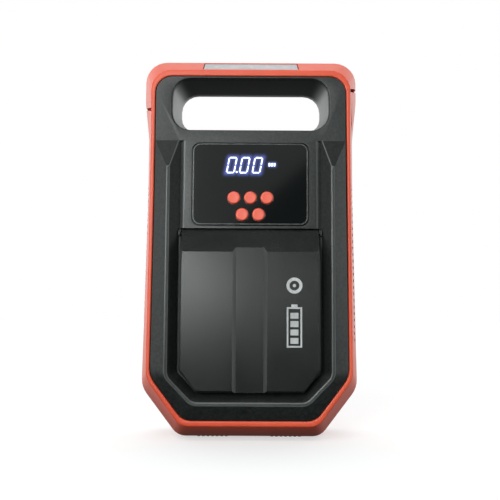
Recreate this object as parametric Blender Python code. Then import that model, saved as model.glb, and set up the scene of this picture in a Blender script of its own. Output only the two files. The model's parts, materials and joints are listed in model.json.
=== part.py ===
"""Jump starter pack with a built-in tyre compressor.

The pack stands on its flat base, with its front towards -Y and its carrying slot at the top.
The origin is the middle of the base. Dimensions here are millimetres, and make_object
turns them into metres.
"""

import math

import bmesh
import bpy
from mathutils import Vector

MM = 0.001
GAP = 0.3

# Depths along Y, front to back.
LID_FACE = -37.0
RIM_FRONT = -27.0
CREST_FRONT = -5.0
SEAM = 4.0
BACK_EDGE = 30.0
BACK_FACE = 37.0
WALL = 2.5

# Heights along Z.
BASE_Z = 0.6
TOP_Z = 261.7
WAIST_LOW = 165.0
WAIST_HIGH = 205.0
SHOULDER = 232.0

# Rounded lower corners of the housing. Each arc has ARC segments.
LOW_RADIUS = 11.0
SIDE_RADIUS = 16.0
ARC = 4

# Front cover: the raised ridge and the platform that carries the controls.
PLATFORM_TOP = 200.1
PLATFORM_END = 140.5
PLATFORM_HALF = 44.8
VALLEY_HALF = 46.9
BAY_HALF = 48.3
RIDGE_HALF = 54.9
RIDGE_TOP = 179.2
RIDGE_RISE = 5.5
RIDGE_CORNER_Z = 42.6
RIDGE_CORNER_X = 37.7
RIDGE_LOW = 25.0
RIDGE_RADIUS = 9.0
BAY_RADIUS = 2.4
FACET_OUTER = 61.5
COVER_THICK = 2.5

# Carrying slot.
SLOT_LOW = 207.5
SLOT_HIGH = 242.9
SLOT_HALF = 53.0
SLOT_RADIUS = 12.0
THROAT_LOW = 211.7
THROAT_HIGH = 240.3
THROAT_HALF = 49.6
THROAT_BACK = 6.0
REAR_LOW = 206.0
REAR_HIGH = 250.6
LINER_WALL = 1.5
LINER_CLEAR = 0.4

# Hose bay and its lid.
LID_HALF = 46.0
LID_TOP = 139.8
LID_FACE_TOP = 123.9
LID_LOW = 32.8
LID_CORNER_Z = 46.9
LID_CORNER_X = 34.7
LID_RADIUS = 3.4
LID_BEVEL = 1.4
HINGE_Y = -26.5
HINGE_Z = 137.0
HINGE_PIN_R = 0.6
HINGE_BORE_R = 0.85
EAR_GROW = 1.5
CHANNEL_HALF = 11.2
CHANNEL_FLOOR_HALF = 9.0
CHANNEL_DEPTH = 2.0
TRAY_CLEAR = 0.9
TRAY_WALL = 2.0
EAR_INNER = 46.9
EAR_OUTER = 47.9
TRAY_FRONT = -24.2
TRAY_BACK = -5.0

# Display and buttons.
WINDOW_HALF = 39.0
WINDOW_LOW = 142.6
WINDOW_HIGH = 198.2
WINDOW_RADIUS = 5.5
WINDOW_FRONT = -27.3
WINDOW_BACK = -25.6
BUTTON_R = 4.15
BUTTON_FRONT = -28.1
BUTTON_PITCH = 11.1
BUTTON_UPPER_Z = 161.1
BUTTON_LOWER_Z = 149.8
BOARD_FRONT = -20.4
BOARD_THICK = 1.6

# Work light in the sloping top.
LIGHT_HALF = 32.5
LIGHT_COUNT = 5
LIGHT_PITCH = 11.9

# Side vents.
VENT_COUNT = 24
VENT_LOW = 66.0
VENT_PITCH = 4.5

# Side covers: the flaps over the sockets, hinged along their rear edges.
FLAP_LOW = 172.0
FLAP_FRONT = -19.0
FLAP_BACK = 22.0
FLAP_THICK = 2.0
LEFT_NOTCH_Z = 220.0
RIGHT_NOTCH_Z = 234.0
NOTCH_RISE = 0.3
NOTCH_WIDE = 2.4
NOTCH_FRONT_X = 66.4
NOTCH_CREST_X = 70.3
NOTCH_END_X = 72.6
NOTCH_END_Y = 0.0
OUTSIDE_X = 80.0

# Sockets behind the side covers, and the bezels round them.
SOCKET_MOUTH = 66.6
SOCKET_BACK = 51.2
SOCKET_WALL = 0.8
SOCKET_DEPTH = 9.0
SOCKET_Y = 4.0
BEZEL_INNER = 64.8
BEZEL_OUTER = 66.8
BEZEL_FRONT = -12.0
BEZEL_REAR = 20.0
BEZEL_LOW = 173.0
BEZEL_ABOVE_NOTCH = 2.0
JUMP_Z = 187.0
JUMP_HALF_WIDE = 11.0
JUMP_HALF_HIGH = 6.0
JUMP_HOLE_OFFSET = 5.0
JUMP_HOLE_R = 3.4

# Battery: four pouch cells side by side in an angled holder, with their board on top.
CELL_COUNT = 4
CELL_THICK = 6.8
CELL_OUTER_X = -67.0
CELL_INNER_X = -11.0
CELL_LOW = 36.0
CELL_HIGH = 164.0
HOLDER_WALL = 2.5
HOLDER_SIDE_WALL = 1.5
HOLDER_TOP = 168.5

# Pump: the motor and its pinion drive a crank gear, whose pin works the rod and piston.
TOOTH_MODULE = 0.8
PINION_TEETH = 10
GEAR_TEETH = 40
PUMP_Y = 15.0
MOTOR_Z = 47.0
MOTOR_R = 13.5
MOTOR_LENGTH = 38.5
MOTOR_REAR_X = -2.5
SHAFT_R = 1.5
FAN_X = -8.2
FAN_THICK = 5.0
FAN_BLADES = 9
GEAR_FRONT_X = 46.0
GEAR_BACK_X = 52.0
CRANK_R = 7.0
CRANK_PIN_R = 2.0
AXLE_R = 2.0
ROD_X = 40.2
ROD_HALF = 2.6
ROD_EYE_R = 5.0
ROD_THICK = 4.0
PISTON_HIGH = 10.0
PISTON_DROP = 11.3
CYLINDER_LOW = 86.0
CYLINDER_HIGH = 122.0
BORE_R = 9.5
CYLINDER_R = 12.0
HEAD_HIGH = 9.0
PUMP_FRAME_LOW = 30.5
PUMP_FRAME_HIGH = 134.0
PUMP_FRAME_WALL = 2.5
PUMP_FRAME_NEAR_X = 37.5
PUMP_FRAME_FAR_X = 55.8
OUTLET_Z = 126.5
OUTLET_STEM_R = 2.6
OUTLET_NUT_R = 5.4
OUTLET_THREAD_R = 3.9

ORANGE = (0.80, 0.17, 0.09)
BLACK = (0.035, 0.038, 0.036)
DARK = (0.015, 0.015, 0.016)
CLEAR_GREY = (0.56, 0.58, 0.60)
BOARD_GREEN = (0.02, 0.16, 0.07)
FOIL = (0.42, 0.44, 0.50)
STEEL = (0.55, 0.56, 0.57)
ALLOY = (0.62, 0.63, 0.64)
BRASS = (0.63, 0.45, 0.16)
RUBBER = (0.02, 0.02, 0.02)


# ---------------------------------------------------------------- scene and mesh helpers

def clear_scene():
    for item in list(bpy.data.objects):
        bpy.data.objects.remove(item, do_unlink=True)


def material(name, color, roughness, metallic=0.0):
    result = bpy.data.materials.new(name)
    result.use_nodes = True
    shader = result.node_tree.nodes["Principled BSDF"]
    shader.inputs["Base Color"].default_value = (*color, 1.0)
    shader.inputs["Roughness"].default_value = roughness
    shader.inputs["Metallic"].default_value = metallic
    return result


def make_object(name, mesh_builder, finish, pivot=(0.0, 0.0, 0.0)):
    """Places a bmesh drawn in millimetres as an object in metres, with its origin at pivot."""
    color, roughness, metallic = finish
    offset = Vector(pivot)
    for vert in mesh_builder.verts:
        vert.co = (vert.co - offset) * MM
    mesh = bpy.data.meshes.new(name)
    mesh_builder.to_mesh(mesh)
    mesh_builder.free()
    mesh.materials.append(material(name, color, roughness, metallic))
    result = bpy.data.objects.new(name, mesh)
    result.location = offset * MM
    bpy.context.scene.collection.objects.link(result)
    return result


def make_cutter(name, mesh_builder):
    result = make_object(name, mesh_builder, (DARK, 0.5, 0.0))
    result.hide_render = True
    result.display_type = "WIRE"
    return result


def combine(target, tool, operation="DIFFERENCE"):
    modifier = target.modifiers.new(tool.name, "BOOLEAN")
    modifier.operation = operation
    modifier.solver = "EXACT"
    modifier.object = tool


def shade_round(item, angle_deg=40.0):
    item.data.shade_smooth()
    item.data.set_sharp_from_angle(angle=math.radians(angle_deg))


def loft(rings, closed=False):
    """Skins rings of equal length. An open loft gets a flat cap at each end."""
    bm = bmesh.new()
    loops = [[bm.verts.new(point) for point in ring] for ring in rings]
    pairs = list(zip(loops, loops[1:]))
    if closed:
        pairs.append((loops[-1], loops[0]))
    for first, second in pairs:
        for i in range(len(first)):
            j = (i + 1) % len(first)
            bm.faces.new((first[i], first[j], second[j], second[i]))
    if not closed:
        bm.faces.new(loops[0])
        bm.faces.new(loops[-1])
    bmesh.ops.recalc_face_normals(bm, faces=bm.faces)
    return bm


# Where a point (u, v) of an outline lies at the distance w along an axis.
ALONG = {
    "X": lambda u, v, w: (w, u, v),
    "Y": lambda u, v, w: (u, w, v),
    "Z": lambda u, v, w: (u, v, w),
}


def prism(outline, axis, low, high):
    """Extrudes an outline along X, Y or Z. The outline is (y, z), (x, z) or (x, y)."""
    return loft([[ALONG[axis](u, v, w) for u, v in outline] for w in (low, high)])


def turned(profile, axis, centre, sides=24):
    """Turns a profile of (distance along the axis, radius) about an axis through centre."""
    rings = [[ALONG[axis](u, v, w) for u, v in circle(*centre, r, sides)] for w, r in profile]
    return loft(rings)


def merge(bm, *others):
    """Adds other bmeshes to the first. They must not touch it."""
    for other in others:
        scratch = bpy.data.meshes.new("scratch")
        other.to_mesh(scratch)
        other.free()
        bm.from_mesh(scratch)
        bpy.data.meshes.remove(scratch)
    return bm


def box(x0, x1, y0, y1, z0, z1):
    return prism([(x0, z0), (x1, z0), (x1, z1), (x0, z1)], "Y", y0, y1)


# ---------------------------------------------------------------- outlines

def circle(cu, cv, radius, sides):
    step = 2.0 * math.pi / sides
    return [(cu + radius * math.cos(i * step), cv + radius * math.sin(i * step)) for i in range(sides)]


def fillet(corners):
    """Rounds a polygon whose corners are (u, v, radius, segments)."""
    outline = []
    for index, (u, v, radius, segments) in enumerate(corners):
        here = Vector((u, v))
        if segments == 0:
            outline.append((u, v))
            continue
        before = Vector(corners[index - 1][:2]) - here
        after = Vector(corners[(index + 1) % len(corners)][:2]) - here
        before.normalize()
        after.normalize()
        half = before.angle(after) / 2.0
        centre = here + (before + after).normalized() * (radius / math.sin(half))
        start = here + before * (radius / math.tan(half)) - centre
        end = here + after * (radius / math.tan(half)) - centre
        turn = start.angle_signed(end)
        base = math.atan2(start.y, start.x)
        for i in range(segments + 1):
            a = base - turn * i / segments
            outline.append((centre.x + radius * math.cos(a), centre.y + radius * math.sin(a)))
    return outline


def rounded(u0, u1, v0, v1, radius, segments):
    corners = [(u0, v0), (u1, v0), (u1, v1), (u0, v1)]
    return fillet([(u, v, radius, segments) for u, v in corners])


def both_sides(right):
    """Completes the right half of a polygon, listed upwards, with its mirror image."""
    return right + [(-u, v, radius, segments) for u, v, radius, segments in reversed(right)]


# Each section: top, waist and bottom half-width, low and high edge, chamfer inner half-width
# and chamfer top, radius of the top corners.
CREST = (74.4, 71.6, 73.9, BASE_Z, TOP_Z, 48.8, 33.4, 15.0)
RIM = (67.6, 67.3, 68.2, 10.2, 249.0, 45.2, 41.2, 14.0)
OPENING = (64.9, 64.9, 65.9, 13.5, 245.0, 43.6, 42.4, 11.5)
BACK = (67.4, 64.6, 66.9, 7.6, 256.5, 45.6, 37.0, 12.0)


def section(sizes, inset=0.0):
    """The housing's outline at one depth, drawn in by inset all round."""
    top, waist, bottom, low, high, chamfer_x, chamfer_z, radius = sizes
    lean = math.atan2(bottom - chamfer_x, chamfer_z - low)
    slip = inset * math.tan(math.radians(45.0) - lean / 2.0)
    rise = inset * math.tan(lean / 2.0)
    right = [
        (chamfer_x - slip, low + inset, LOW_RADIUS, ARC),
        (bottom - inset, chamfer_z + rise, SIDE_RADIUS, ARC),
        (waist - inset, WAIST_LOW, 0.0, 0),
        (waist - inset, WAIST_HIGH, 0.0, 0),
        (top - inset, SHOULDER, 0.0, 0),
        (top - inset, high - inset, max(radius - inset, 3.0), 7),
    ]
    return fillet(both_sides(right))


def at_depth(outline, y):
    return [(x, y, z) for x, z in outline]


def housing_solid(inset):
    """The whole housing as a solid, drawn in by inset, for cutting covers out of its skin."""
    return loft([
        at_depth(section(RIM, inset), RIM_FRONT + inset),
        at_depth(section(CREST, inset), CREST_FRONT + inset * 0.3),
        at_depth(section(CREST, inset), BACK_EDGE - inset * 0.3),
        at_depth(section(BACK, inset), BACK_FACE - inset),
    ])


# ---------------------------------------------------------------- housing

def flap_outline(notch_z, clearance):
    """Side view (y, z) of a side flap, grown by clearance for its pocket."""
    top_front = notch_z + NOTCH_RISE * (FLAP_FRONT - RIM_FRONT)
    top_crest = notch_z + NOTCH_RISE * (CREST_FRONT - RIM_FRONT)
    return [
        (FLAP_FRONT - clearance, FLAP_LOW - clearance),
        (FLAP_BACK + clearance, FLAP_LOW - clearance),
        (FLAP_BACK + clearance, top_crest + clearance),
        (CREST_FRONT, top_crest + clearance),
        (FLAP_FRONT - clearance, top_front + clearance),
    ]


def flap_prism(side, notch_z, clearance):
    outline = flap_outline(notch_z, clearance)
    low, high = sorted((side * 62.0, side * 82.0))
    return prism(outline, "X", low, high)


def notch_groove(side, notch_z):
    """A slanting finger groove across the flared side, just above a flap."""
    front = RIM_FRONT + 0.8
    outline = [
        (NOTCH_FRONT_X, front),
        (NOTCH_CREST_X, CREST_FRONT),
        (NOTCH_END_X, NOTCH_END_Y),
        (OUTSIDE_X, NOTCH_END_Y + 3.0),
        (OUTSIDE_X, front),
    ]
    rings = []
    for lift in (0.0, NOTCH_WIDE):
        rings.append([
            (side * x, y, notch_z + lift + NOTCH_RISE * (min(y, CREST_FRONT) - RIM_FRONT))
            for x, y in outline
        ])
    return loft(rings)


def slope_point(x, along, depth):
    """A point on the sloping top: along runs 0 at the rim to 1 at the crest, depth goes inwards."""
    rise = CREST[4] - RIM[4]
    run = CREST_FRONT - RIM_FRONT
    length = math.hypot(rise, run)
    y = RIM_FRONT + run * along + depth * rise / length
    z = RIM[4] + rise * along - depth * run / length
    return (x, y, z)


def slope_block(half, along0, along1, depth0, depth1, centre=0.0):
    rings = []
    for x in (centre - half, centre + half):
        corners = ((along0, depth0), (along1, depth0), (along1, depth1), (along0, depth1))
        rings.append([slope_point(x, along, depth) for along, depth in corners])
    return loft(rings)


def vent_cutters():
    bm = bmesh.new()
    for side in (-1.0, 1.0):
        for i in range(VENT_COUNT):
            z = VENT_LOW + i * VENT_PITCH
            x0, x1 = sorted((side * 66.0, side * 78.0))
            merge(bm, box(x0, x1, CREST_FRONT - 8.0, CREST_FRONT + 1.0, z - 1.0, z + 1.0))
    return bm


FEET = [
    ("base_foot_front_left", -36.0, -14.0, CREST_FRONT + 1.2, SEAM - 1.2),
    ("base_foot_front_right", 14.0, 36.0, CREST_FRONT + 1.2, SEAM - 1.2),
    ("base_foot_rear_left", -36.0, -14.0, SEAM + 3.0, BACK_EDGE - 4.0),
    ("base_foot_rear_right", 14.0, 36.0, SEAM + 3.0, BACK_EDGE - 4.0),
]
FOOT_POCKET = 1.1


def foot_cutters():
    bm = bmesh.new()
    for _, x0, x1, y0, y1 in FEET:
        merge(bm, box(x0 - 0.4, x1 + 0.4, y0 - 0.4, y1 + 0.4, -2.0, BASE_Z + FOOT_POCKET))
    return bm


def make_front_frame(cutters):
    back_of_rim = RIM_FRONT + 5.0
    rings = [
        at_depth(section(OPENING), RIM_FRONT),
        at_depth(section(RIM), RIM_FRONT),
        at_depth(section(CREST), CREST_FRONT),
        at_depth(section(CREST), SEAM),
        at_depth(section(CREST, WALL), SEAM),
        at_depth(section(CREST, WALL), CREST_FRONT + WALL * 0.3),
        at_depth(section(OPENING), back_of_rim),
    ]
    frame = make_object("front_frame", loft(rings, closed=True), (ORANGE, 0.42, 0.0))
    for side in ("left", "right"):
        combine(frame, cutters[side + "_pocket"])
        combine(frame, cutters[side + "_groove"])
    for name in ("light_pocket", "vents", "feet"):
        combine(frame, cutters[name])
    return frame


def make_rear_shell(cutters):
    """A tub: outside back, outside wall, inside wall and inside back, open at the seam."""
    seam = SEAM + GAP
    rings = [
        at_depth(section(BACK), BACK_FACE),
        at_depth(section(CREST), BACK_EDGE),
        at_depth(section(CREST), seam),
        at_depth(section(CREST, WALL), seam),
        at_depth(section(CREST, WALL), BACK_EDGE - WALL * 0.3),
        at_depth(section(BACK, WALL), BACK_FACE - WALL),
    ]
    shell = make_object("rear_shell", loft(rings), (ORANGE, 0.42, 0.0))
    for name in ("left_pocket", "right_pocket", "feet", "slot_exit", "screw_holes"):
        combine(shell, cutters[name])
    return shell


def slot_ring(half, low, high, grow, y):
    outline = rounded(-half - grow, half + grow, low - grow, high + grow, SLOT_RADIUS + grow, 5)
    return at_depth(outline, y)


def make_handle_liner():
    """The lining of the carrying slot, narrowest in the middle of its depth."""
    mouth = (SLOT_HALF, SLOT_LOW, SLOT_HIGH)
    throat = (THROAT_HALF, THROAT_LOW, THROAT_HIGH)
    rear = (SLOT_HALF, REAR_LOW, REAR_HIGH)
    stations = [(mouth, TRAY_FRONT), (throat, 0.0), (throat, THROAT_BACK), (rear, BACK_FACE - 0.2)]
    inside = [slot_ring(*size, 0.0, y) for size, y in stations]
    outside = [slot_ring(*size, LINER_WALL, y) for size, y in reversed(stations)]
    make_object("handle_liner", loft(inside + outside, closed=True), (BLACK, 0.35, 0.0))


SCREW_PLACES = [(-45.0, 20.0), (45.0, 20.0), (-58.0, 186.0), (58.0, 186.0), (-60.5, 244.0), (60.5, 244.0)]
SCREW_HEAD_R = 3.0
SCREW_STEM_R = 1.5


def screw_hole_cutters():
    bm = bmesh.new()
    profile = [(BACK_FACE - 6.0, 1.9), (BACK_FACE - 1.3, 1.9), (BACK_FACE - 1.3, 3.5), (BACK_FACE + 2.0, 3.5)]
    for place in SCREW_PLACES:
        merge(bm, turned(profile, "Y", place, 12))
    return bm


def make_screws():
    profile = [
        (BACK_FACE - 9.0, SCREW_STEM_R),
        (BACK_FACE - 1.0, SCREW_STEM_R),
        (BACK_FACE - 1.0, SCREW_HEAD_R),
        (BACK_FACE - 0.3, SCREW_HEAD_R - 0.3),
    ]
    for number, place in enumerate(SCREW_PLACES, start=1):
        screw = make_object(f"screw_{number}", turned(profile, "Y", place, 12), (STEEL, 0.4, 1.0))
        shade_round(screw)


def make_feet():
    for name, x0, x1, y0, y1 in FEET:
        pad = box(x0, x1, y0, y1, 0.0, BASE_Z + FOOT_POCKET - GAP)
        make_object(name, pad, (RUBBER, 0.8, 0.0))


# ---------------------------------------------------------------- front cover

def thick_sheet(faces, thickness):
    """Thickens faces of (x, rise, z) points backwards. Below the platform the back stays level."""
    bm = bmesh.new()
    front = {}
    back = {}
    edges = {}
    for face in faces:
        for x, rise, z in face:
            key = (round(x, 4), round(rise, 4), round(z, 4))
            if key not in front:
                front[key] = bm.verts.new((x, RIM_FRONT - rise, z))
                back[key] = bm.verts.new((x, RIM_FRONT - max(rise, 0.0) + thickness, z))
        keys = [(round(x, 4), round(rise, 4), round(z, 4)) for x, rise, z in face]
        bm.faces.new([front[key] for key in keys])
        bm.faces.new([back[key] for key in reversed(keys)])
        for a, b in zip(keys, keys[1:] + keys[:1]):
            edge = frozenset((a, b))
            edges.setdefault(edge, []).append((a, b))
    for uses in edges.values():
        if len(uses) == 1:
            a, b = uses[0]
            bm.faces.new((front[b], front[a], back[a], back[b]))
    bmesh.ops.recalc_face_normals(bm, faces=bm.faces)
    return bm


def ridge_path(inward, radius):
    """The right half of the ridge line drawn in by inward: its lower corner, then its side corner."""
    chamfer = Vector((RIDGE_HALF - RIDGE_CORNER_X, RIDGE_CORNER_Z - RIDGE_LOW)).normalized()
    shift_z = inward * (1.0 - chamfer.x) / chamfer.y
    shift_x = inward * (1.0 - chamfer.y) / chamfer.x
    right = [
        (RIDGE_CORNER_X - shift_x, RIDGE_LOW + inward, radius, ARC),
        (RIDGE_HALF - inward, RIDGE_CORNER_Z + shift_z, radius, ARC),
        (RIDGE_HALF - inward, RIDGE_TOP, 0.0, 0),
    ]
    points = fillet(both_sides(right))
    return points[:ARC + 1], points[ARC + 1:2 * ARC + 2]


def cover_half():
    """Named points of the front cover's right half, each (x, rise above the platform, z)."""
    slope = RIDGE_RISE / (RIDGE_HALF - BAY_HALF)
    valley = -slope * (BAY_HALF - VALLEY_HALF)
    return {
        "platform": (PLATFORM_HALF, 0.0, PLATFORM_TOP),
        "facet_in": (BAY_HALF, 0.0, PLATFORM_TOP),
        "facet_out": (FACET_OUTER, 0.0, PLATFORM_TOP),
        "apex": (RIDGE_HALF, RIDGE_RISE, RIDGE_TOP),
        "platform_end": (PLATFORM_HALF, 0.0, PLATFORM_END),
        "valley_top": (VALLEY_HALF, valley, PLATFORM_TOP - 1.5),
        "valley_end": (VALLEY_HALF, valley, PLATFORM_END),
        "bay_top": (BAY_HALF, 0.0, PLATFORM_END),
    }


def flip(point):
    return (-point[0], point[1], point[2])


def cover_faces():
    point = cover_half()
    edge = [(x, 0.0, z) for x, z in section(OPENING, 0.6)]
    arc_low = edge[:ARC + 1]
    arc_side = edge[ARC + 1:2 * ARC + 2]
    waist = edge[2 * ARC + 2]
    ridge_low, ridge_side = ([(x, RIDGE_RISE, z) for x, z in arc] for arc in ridge_path(0.0, RIDGE_RADIUS))
    bay_path = ridge_path(RIDGE_HALF - BAY_HALF, BAY_RADIUS)
    bay_low, bay_side = ([(x, 0.0, z) for x, z in arc] for arc in bay_path)
    half_count = len(edge) // 2
    line_end = (waist[0], 0.0, PLATFORM_TOP)
    head = edge[2 * ARC + 3:half_count]
    head_line = [flip(point["facet_out"]), flip(point["facet_in"]), flip(point["platform"])]
    head_line += [point["platform"], point["facet_in"], point["facet_out"]]
    head_left = [flip(p) for p in reversed(head)]
    faces = [[line_end] + head + head_left + [flip(line_end)] + head_line]
    half = [
        [point["facet_in"], point["facet_out"], point["apex"]],
        [point["apex"], point["facet_out"], line_end],
        [point["apex"], line_end, waist],
        [point["apex"], waist, ridge_side[ARC]],
        [ridge_side[ARC], waist, arc_side[ARC]],
        [ridge_side[0], arc_side[0], arc_low[ARC], ridge_low[ARC]],
        [point["platform"], point["platform_end"], point["valley_end"], point["valley_top"]],
        [point["platform"], point["valley_top"], point["facet_in"]],
        [point["apex"], point["facet_in"], point["valley_top"], point["valley_end"], point["bay_top"],
         bay_side[ARC], ridge_side[ARC]],
        [ridge_side[0], bay_side[0], bay_low[ARC], ridge_low[ARC]],
    ]
    bands = ((ridge_side, arc_side), (ridge_low, arc_low), (bay_side, ridge_side), (bay_low, ridge_low))
    for inner, outer in bands:
        for i in range(ARC):
            half.append([inner[i + 1], outer[i + 1], outer[i], inner[i]])
    middle = [
        [point["platform"], point["platform_end"]],
        [ridge_low[0], bay_low[0]],
        [ridge_low[0], arc_low[0]],
    ]
    for upper, lower in middle:
        faces.append([flip(upper), upper, lower, flip(lower)])
    return faces + half + [[flip(p) for p in reversed(face)] for face in half]


def make_front_cover(cutters):
    cover = make_object("front_cover", thick_sheet(cover_faces(), COVER_THICK), (BLACK, 0.55, 0.0))
    combine(cover, cutters["slot_entry"])
    combine(cover, cutters["window_hole"])
    return cover


# ---------------------------------------------------------------- hose bay

def lid_section(grow, top):
    """The lid's outline, grown all round except at its top, which is given."""
    slip = grow * math.tan(math.radians(22.5))
    radius = LID_RADIUS + grow
    right = [
        (LID_CORNER_X + slip, LID_LOW - grow, radius, 2),
        (LID_HALF + grow, LID_CORNER_Z - slip, radius, 2),
        (LID_HALF + grow, LID_FACE_TOP - 6.0, 0.0, 0),
        (LID_HALF - 0.5 + grow, top, 0.0, 0),
    ]
    return fillet(both_sides(right))


def make_hose_bay_lid(cutters):
    """A hollow lid: flat face, sloping upper band and a skirt that goes down into the tray."""
    lean = (LID_TOP - 1.0 - LID_FACE_TOP) / (RIM_FRONT - LID_FACE)
    skirt = TRAY_FRONT + 0.4
    cavity_face = LID_FACE + CHANNEL_DEPTH + 1.8
    rings = [
        at_depth(lid_section(-LID_BEVEL, LID_FACE_TOP), LID_FACE),
        at_depth(lid_section(0.0, LID_FACE_TOP + lean * LID_BEVEL), LID_FACE + LID_BEVEL),
        at_depth(lid_section(0.0, LID_TOP - 1.0), RIM_FRONT),
        at_depth(lid_section(0.0, LID_TOP), RIM_FRONT + 1.0),
        at_depth(lid_section(0.0, LID_TOP), skirt),
        at_depth(lid_section(-2.0, LID_TOP - 3.6), skirt),
        at_depth(lid_section(-2.0, LID_TOP - 4.4), RIM_FRONT),
        at_depth(lid_section(-2.0, LID_FACE_TOP + 2.1), cavity_face),
    ]
    pivot = (0.0, HINGE_Y, HINGE_Z)
    lid = make_object("hose_bay_lid", loft(rings), (BLACK, 0.5, 0.0), pivot)
    combine(lid, cutters["channel"])
    combine(lid, cutters["hinge_bore"])


def channel_cutter():
    floor = LID_FACE + CHANNEL_DEPTH
    flare = (CHANNEL_HALF - CHANNEL_FLOOR_HALF) / CHANNEL_DEPTH
    mouth = LID_FACE - 3.0
    mouth_half = CHANNEL_FLOOR_HALF + flare * (floor - mouth)
    outline = [
        (-CHANNEL_FLOOR_HALF, floor),
        (CHANNEL_FLOOR_HALF, floor),
        (mouth_half, mouth),
        (-mouth_half, mouth),
    ]
    return prism(outline, "Z", LID_LOW - 8.0, LID_TOP + 8.0)


def make_tray(cutters):
    top = LID_TOP + 0.8
    rings = [
        at_depth(lid_section(TRAY_CLEAR, top), TRAY_BACK - TRAY_WALL),
        at_depth(lid_section(TRAY_CLEAR, top), TRAY_FRONT),
        at_depth(lid_section(TRAY_CLEAR + TRAY_WALL, top + TRAY_WALL), TRAY_FRONT),
        at_depth(lid_section(TRAY_CLEAR + TRAY_WALL, top + TRAY_WALL), TRAY_BACK),
    ]
    tray = make_object("hose_bay_tray", loft(rings), (DARK, 0.6, 0.0))
    combine(tray, cutters["hinge_ears"], "UNION")
    combine(tray, cutters["hinge_bore"])
    combine(tray, cutters["outlet_hole"])


def hinge_ears():
    """Two ears at the tray's upper corners that hold the ends of the hinge pin."""
    depth = (HINGE_Y - EAR_GROW, TRAY_FRONT + 1.0)
    height = (HINGE_Z - EAR_GROW, HINGE_Z + EAR_GROW)
    return merge(box(-EAR_OUTER, -EAR_INNER, *depth, *height), box(EAR_INNER, EAR_OUTER, *depth, *height))


def make_hinge_pin():
    half = EAR_OUTER
    pin = prism(circle(HINGE_Y, HINGE_Z, HINGE_PIN_R, 10), "X", -half, half)
    shade_round(make_object("lid_hinge_pin", pin, (STEEL, 0.3, 1.0)))


def make_air_outlet():
    """Threaded outlet that an air hose screws onto, through the tray's floor."""
    nut_back = TRAY_BACK - TRAY_WALL - GAP
    nut_front = nut_back - 3.0
    profile = [
        (2.6, OUTLET_STEM_R),
        (nut_back, OUTLET_STEM_R),
        (nut_back, OUTLET_NUT_R),
        (nut_front, OUTLET_NUT_R),
        (nut_front, OUTLET_THREAD_R),
        (nut_front - 5.7, OUTLET_THREAD_R),
        (nut_front - 6.5, OUTLET_THREAD_R - 0.7),
    ]
    outlet = turned(profile, "Y", (ROD_X, OUTLET_Z), 16)
    shade_round(make_object("air_outlet", outlet, (BRASS, 0.3, 1.0)))


# ---------------------------------------------------------------- display and buttons

BUTTONS = [
    ("button_minus", -BUTTON_PITCH, BUTTON_UPPER_Z),
    ("button_light", 0.0, BUTTON_UPPER_Z),
    ("button_plus", BUTTON_PITCH, BUTTON_UPPER_Z),
    ("button_unit", -BUTTON_PITCH / 2.0, BUTTON_LOWER_Z),
    ("button_power", BUTTON_PITCH / 2.0, BUTTON_LOWER_Z),
]


def button_hole_cutters():
    bm = bmesh.new()
    for _, x, z in BUTTONS:
        merge(bm, prism(circle(x, z, BUTTON_R + 0.4, 24), "Y", WINDOW_FRONT - 2.0, WINDOW_BACK + 2.0))
    return bm


def make_window(cutters):
    outline = rounded(-WINDOW_HALF, WINDOW_HALF, WINDOW_LOW, WINDOW_HIGH, WINDOW_RADIUS, 5)
    window = make_object("display_window", prism(outline, "Y", WINDOW_FRONT, WINDOW_BACK), (DARK, 0.08, 0.0))
    combine(window, cutters["button_holes"])


def make_buttons():
    flange = WINDOW_BACK + GAP
    profile = [
        (BUTTON_FRONT, BUTTON_R - 0.5),
        (BUTTON_FRONT + 0.4, BUTTON_R),
        (flange, BUTTON_R),
        (flange, BUTTON_R + 0.8),
        (flange + 0.7, BUTTON_R + 0.8),
        (flange + 0.7, 1.5),
        (BOARD_FRONT - 2.2, 1.5),
    ]
    for name, x, z in BUTTONS:
        button = turned(profile, "Y", (x, z), 20)
        shade_round(make_object(name, button, (ORANGE, 0.35, 0.0), (x, BUTTON_FRONT, z)))


def switch_blocks():
    bm = bmesh.new()
    for _, x, z in BUTTONS:
        merge(bm, box(x - 2.5, x + 2.5, BOARD_FRONT - 1.3, BOARD_FRONT + 0.5, z - 2.5, z + 2.5))
    return bm


def make_control_board(cutters):
    board = box(-42.0, 42.0, BOARD_FRONT, BOARD_FRONT + BOARD_THICK, 144.5, 201.0)
    combine(make_object("control_board", board, (BOARD_GREEN, 0.5, 0.0)), cutters["switches"], "UNION")
    module = box(-23.0, 23.0, WINDOW_BACK + 0.4, BOARD_FRONT - 0.4, 173.0, 193.0)
    make_object("display_module", module, (DARK, 0.4, 0.0))


# ---------------------------------------------------------------- work light

def led_blocks():
    bm = bmesh.new()
    for i in range(LIGHT_COUNT):
        x = (i - (LIGHT_COUNT - 1) / 2.0) * LIGHT_PITCH
        merge(bm, slope_block(1.8, 0.50, 0.66, 5.8, 7.0, x))
    return bm


def make_work_light(cutters):
    lens = slope_block(LIGHT_HALF, 0.12, 0.92, 0.4, 3.4)
    make_object("light_lens", lens, (CLEAR_GREY, 0.45, 0.0))
    board = slope_block(LIGHT_HALF - 1.5, 0.28, 0.90, 6.8, 8.2)
    combine(make_object("light_board", board, (BOARD_GREEN, 0.5, 0.0)), cutters["leds"], "UNION")


# ---------------------------------------------------------------- side flaps and sockets

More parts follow.
